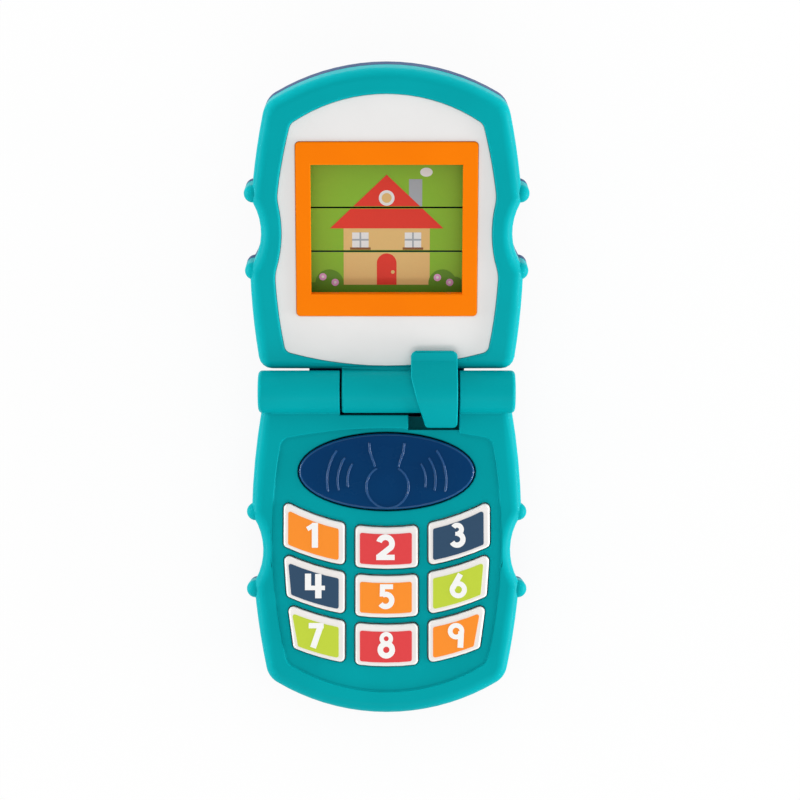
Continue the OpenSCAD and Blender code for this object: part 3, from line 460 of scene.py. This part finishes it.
# Lid front: a round rim about its plate, and round ends on its hinge barrel
lidFace = {"rimEdge": 0.7, "rimSteps": 4, "rimFrom": 6.2, "rimFront": -0.5,
           "barrel": 5.2, "barrelNear": 0.1, "barrelEdge": 0.6, "barrelFrom": -2.5, "barrelHalf": 27}


def rimEdge(point):
    u, v, w = inLid(point)
    return w > lidFace["rimFront"] and v > lidFace["rimFrom"]


def barrelEnd(point):  # on the edge of the barrel, where it shows
    u, v, w = inLid(point)
    onRound = abs(math.hypot(v, w) - lidFace["barrel"]) < lidFace["barrelNear"]
    return onRound and w > lidFace["barrelFrom"] and abs(u) < lidFace["barrelHalf"]


lidCasing = castOf("lid_front_shell", "lidFrontCasing")
breakEdges(lidCasing, rimEdge, lidFace["rimEdge"], lidFace["rimSteps"])
breakEdges(lidCasing, barrelEnd, lidFace["barrelEdge"])
chamferSeam(lidCasing, lidSplit, lidFront)
evenShading(lidCasing)
dress(lidCasing, tealAbs, "teal_plastic", "lid", "lid_front_shell")

# Lid rear: the neck that closes the back of the hinge is rounded on its outer edges
neck = {"half": 19, "end": -6.7, "back": -17, "from": -5.3, "to": 4.5, "edge": 0.8, "steps": 4}


def neckOuter(point):
    u, v, w = inLid(point)
    skin = abs(u) > neck["half"] or v < neck["end"] or w < neck["back"]
    return skin and v < neck["to"] and w < neck["from"]


lidRear = castOf("lid_rear_cover", "lidRearCasing")
breakEdges(lidRear, neckOuter, neck["edge"], neck["steps"])
chamferSeam(lidRear, lidSplit, -lidFront)
evenShading(lidRear)
dress(lidRear, navyAbs, "navy_plastic", "lid", "lid_rear_cover")
print("casings finished")

# Lid plate, as it is moulded
plate = castOf("screen_plate", "lidPlate")
evenShading(plate)
dress(plate, whiteAbs, "white_plastic", "lid", "screen_plate")

# Screen surround, with its front edges broken
rail = {"front": -0.8, "edge": 0.3}
surround = castOf("screen_frame", "screenSurround")
breakEdges(surround, lambda p: inLid(p)[2] > rail["front"], rail["edge"])
evenShading(surround)
dress(surround, orangeAbs, "orange_plastic", "lid", "screen_frame")

# Flip lever, rounded where a finger presses it
press = {"above": 1.5, "edge": 0.4, "sharp": 50}
lever = castOf("flip_lever", "flipLever")
breakEdges(lever, lambda p: inBase(p)[2] > press["above"], press["edge"], sharp=press["sharp"])
evenShading(lever)
dress(lever, tealAbs, "teal_plastic", "lever", "flip_lever")
print("plate, surround and lever finished")

# Key caps with soft top edges, and the printed fields on them
keys = {"edge": 0.55, "steps": 4, "colours": "orange red navy navy orange lime lime red orange".split()}
labelInks = {
    "orange": printedInk("ink_orange", "#FD9127", "#F98A1E"),
    "red": printedInk("ink_red", "#E34245", "#DB383C"),
    "navy": printedInk("ink_navy", "#2C4A66", "#26435E"),
    "lime": printedInk("ink_lime", "#C3D63C", "#BACE33"),
}
for i, colour in enumerate(keys["colours"]):
    node = f"key_{i + 1}"
    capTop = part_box(node)[1][2]
    cap = castOf(node, f"keyCap{i + 1}")
    breakEdges(cap, lambda p: p.z > capTop - bench["near"] * mm, keys["edge"], keys["steps"])
    evenShading(cap)
    dress(cap, capAbs, "white_plastic", f"pressed_{i + 1}", node)
    label = nodes[f"key_label_{i + 1}"]
    label.data.materials.clear()
    label.data.materials.append(labelInks[colour])
print("key caps finished")

# Numbers on the keys: each a few strokes in millimetres from the middle of its field, joined and printed in
# white. A stroke is (width, points), and an arc in it is (middle across, middle along, radius, from, to),
# with its ends in degrees
numbers = {"film": 0.05, "sunk": 0.01, "outerRise": 0.12, "middleRise": 0.32, "arcStep": 12, "weld": 0.001,
           "smooth": 30}
numberStrokes = [
    [(1.1, [(-1.5, 1.5), (0.3, 2.6)]), (1.5, [(0.38, 3.05), (0.38, -3.05)])],
    [(1.4, [(-0.1, 0.95, 1.6, 165, -35), (-1.65, -2.2)]), (1.3, [(-2.35, -2.4), (2.15, -2.4)])],
    [(1.2, [(-0.3, 1.42, 1.05, 150, -75)]), (1.3, [(-0.3, -1.0, 1.42, 80, -150)]),
     (0.95, [(-0.75, 0.36), (0.2, 0.36)])],
    [(1.5, [(-1.37, 2.98), (-1.37, -1.0)]), (1.1, [(-2.12, -0.52), (2.77, -0.52)]),
     (1.55, [(1.14, 2.9), (1.14, -3.05)])],
    [(1.2, [(-1.4, 2.4), (1.75, 2.4)]), (1.25, [(-0.8, 2.9), (-0.88, 0.0)]),
     (1.3, [(-0.05, -0.95, 1.5, 120, -145)])],
    [(1.2, [(0.05, -0.95, 1.5, 0, 360)]), (1.35, [(-1.35, -0.6), (0.6, 2.85)])],
    [(1.3, [(-1.7, 2.4), (1.95, 2.4)]), (1.45, [(1.3, 2.6), (-0.65, -3.0)])],
    [(1.05, [(0.1, 1.62, 1.13, 0, 360)]), (1.36, [(0.1, -1.1, 1.46, 0, 360)])],
    [(1.15, [(0, 1.05, 1.43, 0, 360)]), (1.4, [(1.25, 1.0), (1.05, -3.0)])],
]


def arcPoints(middle, radius, start, end, step):
    count = max(2, round(abs(end - start) / step))
    turns = [math.radians(start + (end - start) * k / count) for k in range(count + 1)]
    return [(middle[0] + radius * math.cos(t), middle[1] + radius * math.sin(t)) for t in turns]


def pathPoints(parts, step):
    points = []
    for part in parts:
        points += [part] if len(part) == 2 else arcPoints(part[:2], *part[2:], step)
    return points


def inkStroke(width, points, height):  # a wall drawn point by point, then given the stroke's width
    closed = (Vector(points[0]) - Vector(points[-1])).length < numbers["weld"]
    bpy.ops.object.select_all(action="DESELECT")
    bpy.ops.mesh.primitive_plane_add(size=mm, location=(0, 0, 0))
    piece = bpy.context.object
    bpy.ops.object.mode_set(mode="EDIT")
    bpy.ops.mesh.select_mode(type="VERT")
    bpy.ops.mesh.select_all(action="SELECT")
    bpy.ops.mesh.merge(type="CENTER")
    bpy.ops.transform.translate(value=(points[0][0] * mm, points[0][1] * mm, 0))
    for a, b in zip(points, points[1:]):
        move = ((b[0] - a[0]) * mm, (b[1] - a[1]) * mm, 0)
        bpy.ops.mesh.extrude_vertices_move(TRANSFORM_OT_translate={"value": move})
    bpy.ops.mesh.select_all(action="SELECT")
    if closed:
        bpy.ops.mesh.remove_doubles(threshold=numbers["weld"] * mm)
    bpy.ops.mesh.extrude_edges_move(TRANSFORM_OT_translate={"value": (0, 0, height * mm)})
    faceOutwards()
    applyModifier(piece, "SOLIDIFY", thickness=width * mm, offset=0, use_even_offset=True)
    pick(piece)
    bpy.ops.object.mode_set(mode="EDIT")
    faceOutwards()
    return piece


def union(pieces):
    for other in pieces[1:]:
        applyModifier(pieces[0], "BOOLEAN", operation="UNION", solver="EXACT", object=other)
        bpy.data.objects.remove(other)
    return pieces[0]


for i, strokes in enumerate(numberStrokes):
    low, high = (Vector(c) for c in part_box(f"key_label_{i + 1}"))
    rise = numbers["middleRise"] if i % 3 == 1 else numbers["outerRise"]  # middle or outer column
    height = numbers["film"] + numbers["sunk"]
    number = union([inkStroke(w, pathPoints(parts, numbers["arcStep"]), height) for w, parts in strokes])
    number.name = f"keyNumber{i + 1}"
    middle = (low + high) / 2
    number.location = (middle.x, middle.y + rise * mm, high.z - numbers["sunk"] * mm)
    pick(number)
    bpy.ops.object.transform_apply(location=True, rotation=True, scale=True)
    evenShading(number, numbers["smooth"])
    dress(number, whiteInk, "white_plastic", f"pressed_{i + 1}")
print("numbers printed on the keys")

# Oval button: soft edge, and thin raised lines of a squeeze horn and its sound
button = {
    "edge": 0.7, "steps": 5, "tilt": (0.05, 0.9),  # how far up a face of the glossier edge, painted lighter as a highlight, points
    "line": 0.3, "lineSides": 12, "lineSmooth": 60,
    "bulbMiddle": (0.2, 23.3), "bulb": (5.2, 60, -240), "bulbStep": 10,
    "neck": [(2.9, 18.4), (3.2, 17.3), (4.1, 14.8), (4.3, 12.6)],
    "soundMiddle": (2, 21.8), "sound": [(7.6, 33, -12), (10, 34, -14), (12.6, 36, -12)], "soundStep": 5,
}
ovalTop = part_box("squeaker_button")[1][2]
oval = castOf("squeaker_button", "squeakerButton")
breakEdges(oval, lambda p: p.z > ovalTop - bench["near"] * mm, button["edge"], button["steps"])
evenShading(oval)
dress(oval, buttonAbs, "button_plastic", "squeaker", "squeaker_button")
oval.data.materials.append(glossAndPaintedHighlightAbs)  # the edge is glossier, and painted a lighter blue as a painted highlight
for face in oval.data.polygons:
    face.material_index = int(button["tilt"][0] < face.normal.z < button["tilt"][1])


def raisedLine(points, radius):  # a half-round bead on the button's top, points across and toward the keys
    bpy.ops.object.select_all(action="DESELECT")
    bpy.ops.mesh.primitive_circle_add(vertices=button["lineSides"], radius=radius * mm, fill_type="NGON")
    piece = bpy.context.object
    path = [hinge + Vector((x, -v, 0)) * mm for x, v in points]
    path = [Vector((p.x, p.y, ovalTop)) for p in path]
    heading = (path[1] - path[0]).to_2d()
    piece.rotation_euler = (math.pi / 2, 0, math.atan2(heading.y, heading.x) - math.pi / 2)
    piece.location = path[0]
    bpy.ops.object.transform_apply(location=True, rotation=True, scale=True)
    bpy.ops.object.mode_set(mode="EDIT")
    bpy.ops.mesh.select_all(action="SELECT")
    for a, b, c in zip(path, path[1:], path[2:] + [path[-1] * 2 - path[-2]]):
        bpy.ops.mesh.extrude_region_move(TRANSFORM_OT_translate={"value": b - a})
        turn = (b - a).to_2d().angle_signed((c - b).to_2d())
        bpy.ops.transform.rotate(value=turn, orient_axis="Z", center_override=b)
    faceOutwards()
    return piece


def buttonArc(middle, radius, start, end, step):  # its points across and toward the keys
    return [(u, -v) for u, v in arcPoints((middle[0], -middle[1]), radius, start, end, step)]


lines = [buttonArc(button["bulbMiddle"], *button["bulb"], button["bulbStep"])]
for side in (-1, 1):
    lines.append([(side * u, v) for u, v in button["neck"]])
    for sound in button["sound"]:
        arc = buttonArc(button["soundMiddle"], *sound, button["soundStep"])
        lines.append([(side * u, v) for u, v in arc])
beads = joinAll([raisedLine(points, button["line"]) for points in lines], "buttonLines")
evenShading(beads, button["lineSmooth"])
# the lines are glossier, and painted a lighter blue as a painted highlight
dress(beads, glossAndPaintedHighlightAbs, "button_plastic", "squeaker")
print("oval button finished")

# Picture slats: three faces each, printed with a house, a boat and a tree in thin films cut at the seams
slats = {"edge": 0.04, "edgeSteps": 2, "edgeSharp": 60, "bottom": 28.35, "pitch": 10.8, "side": 10.45,
         "axis": -9.4, "margin": 0.12, "film": 0.02, "sunk": 0.01, "discSides": 40}
slatNames = ("bottom", "middle", "top")
fieldInk = printedInk("ink_picture_green", "#86B72F", "#7CAE28")
pictureInks = {
    "red": printedInk("ink_picture_red", "#E03A2A", "#D83224"),
    "tan": printedInk("ink_picture_tan", "#E0BA78", "#DAB26E"),
    "white": printedInk("ink_picture_white", "#E4E4E2", "#DADAD8"),
    "grey": printedInk("ink_picture_grey", "#A3A9AE", "#9AA1A6"),
    "pink": printedInk("ink_picture_pink", "#DFA3D0", "#D899C8"),
    "leaf": printedInk("ink_picture_leaf", "#5E8F22", "#57871D"),
    "brown": printedInk("ink_picture_brown", "#8A5A32", "#82532C"),
    "blue": printedInk("ink_picture_blue", "#3F7FB5", "#3877AD"),
}
# A block is (ink, layer, left, low, right, high, share of its width kept at the top, lean of the top),
# a disc is (ink, layer, middle across, middle along, half width, half height), all in the lid's millimetres
ground = {"half": 18.9, "low": 23}
window = {"half": 2, "low": 34.7, "high": 38.4, "bar": 0.2, "railLow": 36.4, "railHigh": 36.8,
          "sillHalf": 2.5, "sillLow": 34.1}
flower = {"petals": 0.9, "eye": 0.35}
apple = {"radius": 1.5}


def groundBlock(inkName, layer, high):
    return inkName, layer, -ground["half"], ground["low"], ground["half"], high, 1, 0


def windowBlocks(middle):  # pane, upright bar, rail and sill
    bands = [("white", 3, window["half"], window["low"], window["high"]),
             ("grey", 4, window["bar"], window["low"], window["high"]),
             ("grey", 5, window["half"], window["railLow"], window["railHigh"]),
             ("brown", 4, window["sillHalf"], window["sillLow"], window["low"])]
    return [(inkName, layer, middle - half, low, middle + half, high, 1, 0)
            for inkName, layer, half, low, high in bands]


def roundDiscs(inkName, layer, radius, places):
    return [(inkName, layer, u, v, radius, radius) for u, v in places]


bushFlowers = [(-15.6, 27.4), (-12.6, 26), (12.4, 27.2), (15.4, 26)]
meadowFlowers = [(-12, 26.6), (9.6, 26.2), (14, 27)]
apples = [(-4.6, 41.6), (3.6, 40.4), (0.4, 47.4), (6.2, 46.8), (-6, 47.2)]
pictures = [
    {"name": "House", "turn": 0, "blocks": [
        groundBlock("leaf", 1, 26), ("grey", 1, 5.4, 44, 8.6, 51.5, 1, 0),
        ("tan", 2, -10.5, 25.4, 10.5, 40, 1, 0), ("red", 3, -13.8, 39.4, 13.8, 52.6, 0, 0),
        ("red", 4, -2.4, 25.4, 2.4, 30.8, 1, 0), *windowBlocks(-6.4), *windowBlocks(6.4)],
     "discs": [
        ("red", 3, 0, 30.8, 2.4, 2.4), ("white", 4, 0, 46.9, 1.9, 1.9), ("tan", 5, 0, 46.9, 1.2, 1.2),
        ("tan", 5, 1.5, 28.6, 0.45, 0.45), ("leaf", 3, -14, 26, 3.4, 3.2), ("leaf", 3, 13.6, 25.8, 3.4, 3.4),
        ("leaf", 4, 16.8, 25, 2, 2.4), ("white", 2, 9.6, 53.2, 1.5, 1.1),
        *roundDiscs("pink", 5, flower["petals"], bushFlowers),
        *roundDiscs("white", 6, flower["eye"], bushFlowers)]},
    {"name": "Boat", "turn": -120, "blocks": [
        groundBlock("blue", 3, 29), ("brown", 2, -8.5, 27, 8.5, 32.4, 1.5, 0),
        ("grey", 1, -0.4, 32.4, 0.4, 52, 1, 0), ("red", 2, 0.9, 33.9, 11, 51, 0, -5.05),
        ("tan", 2, -9, 33.9, -0.9, 47, 0, 4.05)],
     "discs": [
        ("white", 1, -12, 49, 3.4, 1.8), ("white", 2, -9.6, 50, 2.4, 1.9), ("white", 1, 14, 47.4, 2.8, 1.5),
        ("white", 4, -12, 27, 2.6, 0.4), ("white", 4, 4, 25.6, 2.6, 0.4), ("white", 4, 13, 27.4, 2.2, 0.4)]},
    {"name": "Tree", "turn": -240, "blocks": [
        groundBlock("leaf", 1, 27), ("brown", 2, -2.4, 25.6, 2.4, 40, 0.7, 0)],
     "discs": [
        ("leaf", 3, 0, 44, 10.5, 8.4), *roundDiscs("red", 4, apple["radius"], apples),
        *roundDiscs("pink", 2, flower["petals"], meadowFlowers)]},
]


def blockFilm(left, low, right, high, kept, lean):
    bpy.ops.object.select_all(action="DESELECT")
    bpy.ops.mesh.primitive_plane_add(size=1, location=((left + right) / 2 * mm, (low + high) / 2 * mm, 0))
    piece = bpy.context.object
    piece.scale = ((right - left) * mm, (high - low) * mm, 1)
    bpy.ops.object.transform_apply(location=True, rotation=True, scale=True)
    middle = Vector(((left + right) / 2 + lean, high, 0)) * mm
    bpy.ops.object.mode_set(mode="EDIT")
    bpy.ops.mesh.select_mode(type="VERT")
    bpy.ops.mesh.select_all(action="DESELECT")
    bpy.ops.object.mode_set(mode="OBJECT")
    for point in piece.data.vertices:
        point.select = point.co.y > (low + high) / 2 * mm
    bpy.ops.object.mode_set(mode="EDIT")
    bpy.ops.transform.translate(value=(lean * mm, 0, 0))
    if kept:
        bpy.ops.transform.resize(value=(kept, 1, 1), center_override=middle)
    else:
        bpy.ops.mesh.merge(type="CENTER")
    bpy.ops.object.mode_set(mode="OBJECT")
    return piece


def discFilm(acrossAt, alongAt, halfWidth, halfHeight):
    bpy.ops.object.select_all(action="DESELECT")
    bpy.ops.mesh.primitive_circle_add(vertices=slats["discSides"], radius=1, fill_type="NGON",
                                      location=(acrossAt * mm, alongAt * mm, 0))
    piece = bpy.context.object
    piece.scale = (halfWidth * mm, halfHeight * mm, 1)
    bpy.ops.object.transform_apply(location=True, rotation=True, scale=True)
    return piece


def trimFilm(piece, low, high, layer):  # keeps what lies on one slat and gives it its thickness
    pick(piece)
    bpy.ops.object.mode_set(mode="EDIT")
    for edge, outward in ((low, -1), (high, 1)):
        bpy.ops.mesh.select_all(action="SELECT")
        bpy.ops.mesh.bisect(plane_co=(0, edge * mm, 0), plane_no=(0, outward, 0), clear_outer=True)
    bpy.ops.object.mode_set(mode="OBJECT")
    if len(piece.data.polygons) == 0:
        bpy.data.objects.remove(piece)
        return None
    bpy.ops.object.mode_set(mode="EDIT")
    bpy.ops.mesh.select_all(action="SELECT")
    bpy.ops.transform.translate(value=(0, 0, -slats["sunk"] * mm))
    bpy.ops.mesh.extrude_region_move(
        TRANSFORM_OT_translate={"value": (0, 0, (layer * slats["film"] + slats["sunk"]) * mm)})
    faceOutwards()
    return piece


lidFrame = Matrix((across, lidAway, lidFront)).transposed().to_4x4()
lidFrame.translation = hinge
for k, name in enumerate(slatNames):
    slat = castOf("slat_" + name, "pictureSlat" + name.capitalize())
    breakEdges(slat, anywhere, slats["edge"], slats["edgeSteps"], slats["edgeSharp"])
    evenShading(slat)
    dress(slat, fieldInk, "slat_plastic", "turning_" + name, "slat_" + name)
    middle = slats["bottom"] + k * slats["pitch"]
    reach = slats["side"] / 2 - slats["margin"]
    for picture in pictures:
        films = []
        for make, shapes in ((blockFilm, picture["blocks"]), (discFilm, picture["discs"])):
            for inkName, layer, *sizes in shapes:
                film = trimFilm(make(*sizes), middle - reach, middle + reach, layer)
                if film:
                    film.data.materials.append(pictureInks[inkName])
                    films.append(film)
        printed = joinAll(films, f"print{picture['name']}{name.capitalize()}")
        face = slats["side"] / math.sqrt(12)  # from the axis of a three-sided slat to its face
        printed.data.transform(lidFrame @ Matrix.Translation(Vector((0, middle, slats["axis"])) * mm)
                               @ Matrix.Rotation(math.radians(picture["turn"]), 4, "X")
                               @ Matrix.Translation(Vector((0, -middle, face)) * mm))
        dress(printed, None, "slat_plastic", "turning_" + name)
print("slats printed with their pictures")

# Case screws, each with a cross recess in its head
recess = {"arm": 2.2, "bar": 0.55, "depth": 0.8, "smooth": 30}


def crossCutter(place, turn):  # a small block whose four sides are drawn out into arms
    bpy.ops.object.select_all(action="DESELECT")
    bpy.ops.mesh.primitive_cube_add(size=recess["bar"] * mm)
    cutter = bpy.context.object
    bpy.ops.object.mode_set(mode="EDIT")
    bpy.ops.mesh.select_mode(type="FACE")
    bpy.ops.transform.resize(value=(1, 1, 2 * recess["depth"] / recess["bar"]))
    bpy.ops.mesh.select_all(action="DESELECT")
    bpy.ops.object.mode_set(mode="OBJECT")
    for face in cutter.data.polygons:
        face.select = abs(face.normal.z) < 0.5  # the four sides
    bpy.ops.object.mode_set(mode="EDIT")
    bpy.ops.mesh.extrude_faces_move(
        TRANSFORM_OT_shrink_fatten={"value": (recess["arm"] - recess["bar"]) / 2 * mm})
    faceOutwards()
    cutter.location = place
    cutter.rotation_euler = (turn, 0, 0)
    return cutter


for node, name, body, front in (("base_case_screws", "baseCaseScrews", "base", up),
                                ("lid_case_screws", "lidCaseScrews", "lid", lidFront)):
    shanks = separated(castOf(node, name))
    for shank in shanks:
        middle = middleOf(shank)
        rear = min(point.co.dot(front) for point in shank.data.vertices)
        place = middle + front * (rear - middle.dot(front))
        cutter = crossCutter(place, math.atan2(-front.y, front.z))
        applyModifier(shank, "BOOLEAN", operation="DIFFERENCE", solver="EXACT", object=cutter)
        bpy.data.objects.remove(cutter)
    screws = joinAll(shanks, name)
    evenShading(screws, recess["smooth"])
    dress(screws, zincSteel, "steel", body, node)
print("case screws cut")

# Key mat: its domes are pieces of their own, under the keys
domes = {"height": 1.6, "foot": 0.02, "reach": 6, "edge": 0.2, "kept": 0.2}
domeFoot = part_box("key_mat")[1][2] - (domes["height"] - domes["foot"]) * mm
keyBoxes = [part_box(f"key_{i + 1}") for i in range(len(keys["colours"]))]
keyMiddles = [(Vector(low) + Vector(high)) / 2 for low, high in keyBoxes]


def besideKey(point, i):
    return (point - keyMiddles[i]).to_2d().length < domes["reach"] * mm


def cutMat(name, above):  # the mat below the feet of its domes, or what stands above them
    piece = castOf("key_mat", name)
    bpy.ops.object.mode_set(mode="EDIT")
    bpy.ops.mesh.select_all(action="SELECT")
    bpy.ops.mesh.bisect(plane_co=(0, 0, domeFoot), plane_no=(0, 0, 1), clear_inner=above,
                        clear_outer=not above)
    bpy.ops.object.mode_set(mode="OBJECT")
    return piece


def closeRings(piece, i):  # bridges the two open rings at one dome's foot
    pick(piece)
    bpy.ops.object.mode_set(mode="EDIT")
    bpy.ops.mesh.select_mode(type="EDGE")
    bpy.ops.mesh.select_all(action="DESELECT")
    bpy.ops.mesh.select_non_manifold(use_wire=False, use_multi_face=False, use_non_contiguous=False,
                                     use_verts=False)
    keepEdges(piece, lambda p: besideKey(p, i))
    bpy.ops.mesh.bridge_edge_loops()
    faceOutwards()


sheet = cutMat("keyMatSheet", False)
for i in range(len(keyMiddles)):
    closeRings(sheet, i)
    dome = cutMat(f"keyDome{i + 1}", True)
    for point in dome.data.vertices:
        point.select = not besideKey(point.co, i)
    bpy.ops.object.mode_set(mode="EDIT")
    bpy.ops.mesh.select_mode(type="VERT")
    bpy.ops.mesh.delete(type="VERT")
    bpy.ops.object.mode_set(mode="OBJECT")
    closeRings(dome, i)
    breakEdges(dome, lambda p: p.z > domeFoot + domes["foot"] * mm, domes["edge"])
    evenShading(dome)
    dress(dome, softPvc, "rubber", "base")
    middle = middleOf(dome)
    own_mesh(dome)
evenShading(sheet)
dress(sheet, softPvc, "rubber", "base", "key_mat")

# Bellows under the oval button, with its folds rounded
folds = {"edge": 0.3, "sharp": 50, "smooth": 60}
low, high = (Vector(c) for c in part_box("squeaker_bellows"))
bellows = castOf("squeaker_bellows", "squeakerBellows")
breakEdges(bellows, anywhere, folds["edge"], sharp=folds["sharp"])
evenShading(bellows, folds["smooth"])
dress(bellows, softPvc, "rubber", "base", "squeaker_bellows")
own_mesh(bellows)
print("soft pieces finished")

# Inner pieces that stay as the CAD made them, in their own finishes
# the hinge pin's near black is its blackened finish and also painted shade in the gaps between the knuckles
finishes = {
    "hinge_pin": blackenedSteelPaintedShade, "hinge_plug": tealAbs, "key_plate": greyAcetal, "key_plate_screws": zincSteel,
    "squeaker_reed": greyAcetal, "slat_cradle": greyAcetal, "cradle_screws": zincSteel,
    "lever_spring": zincSteel, "slat_rack": orangeAbs, "pinion_top": greyAcetal, "pinion_middle": greyAcetal,
    "pinion_bottom": greyAcetal,
}
for node, material in finishes.items():
    nodes[node].data.materials.clear()
    nodes[node].data.materials.append(material)
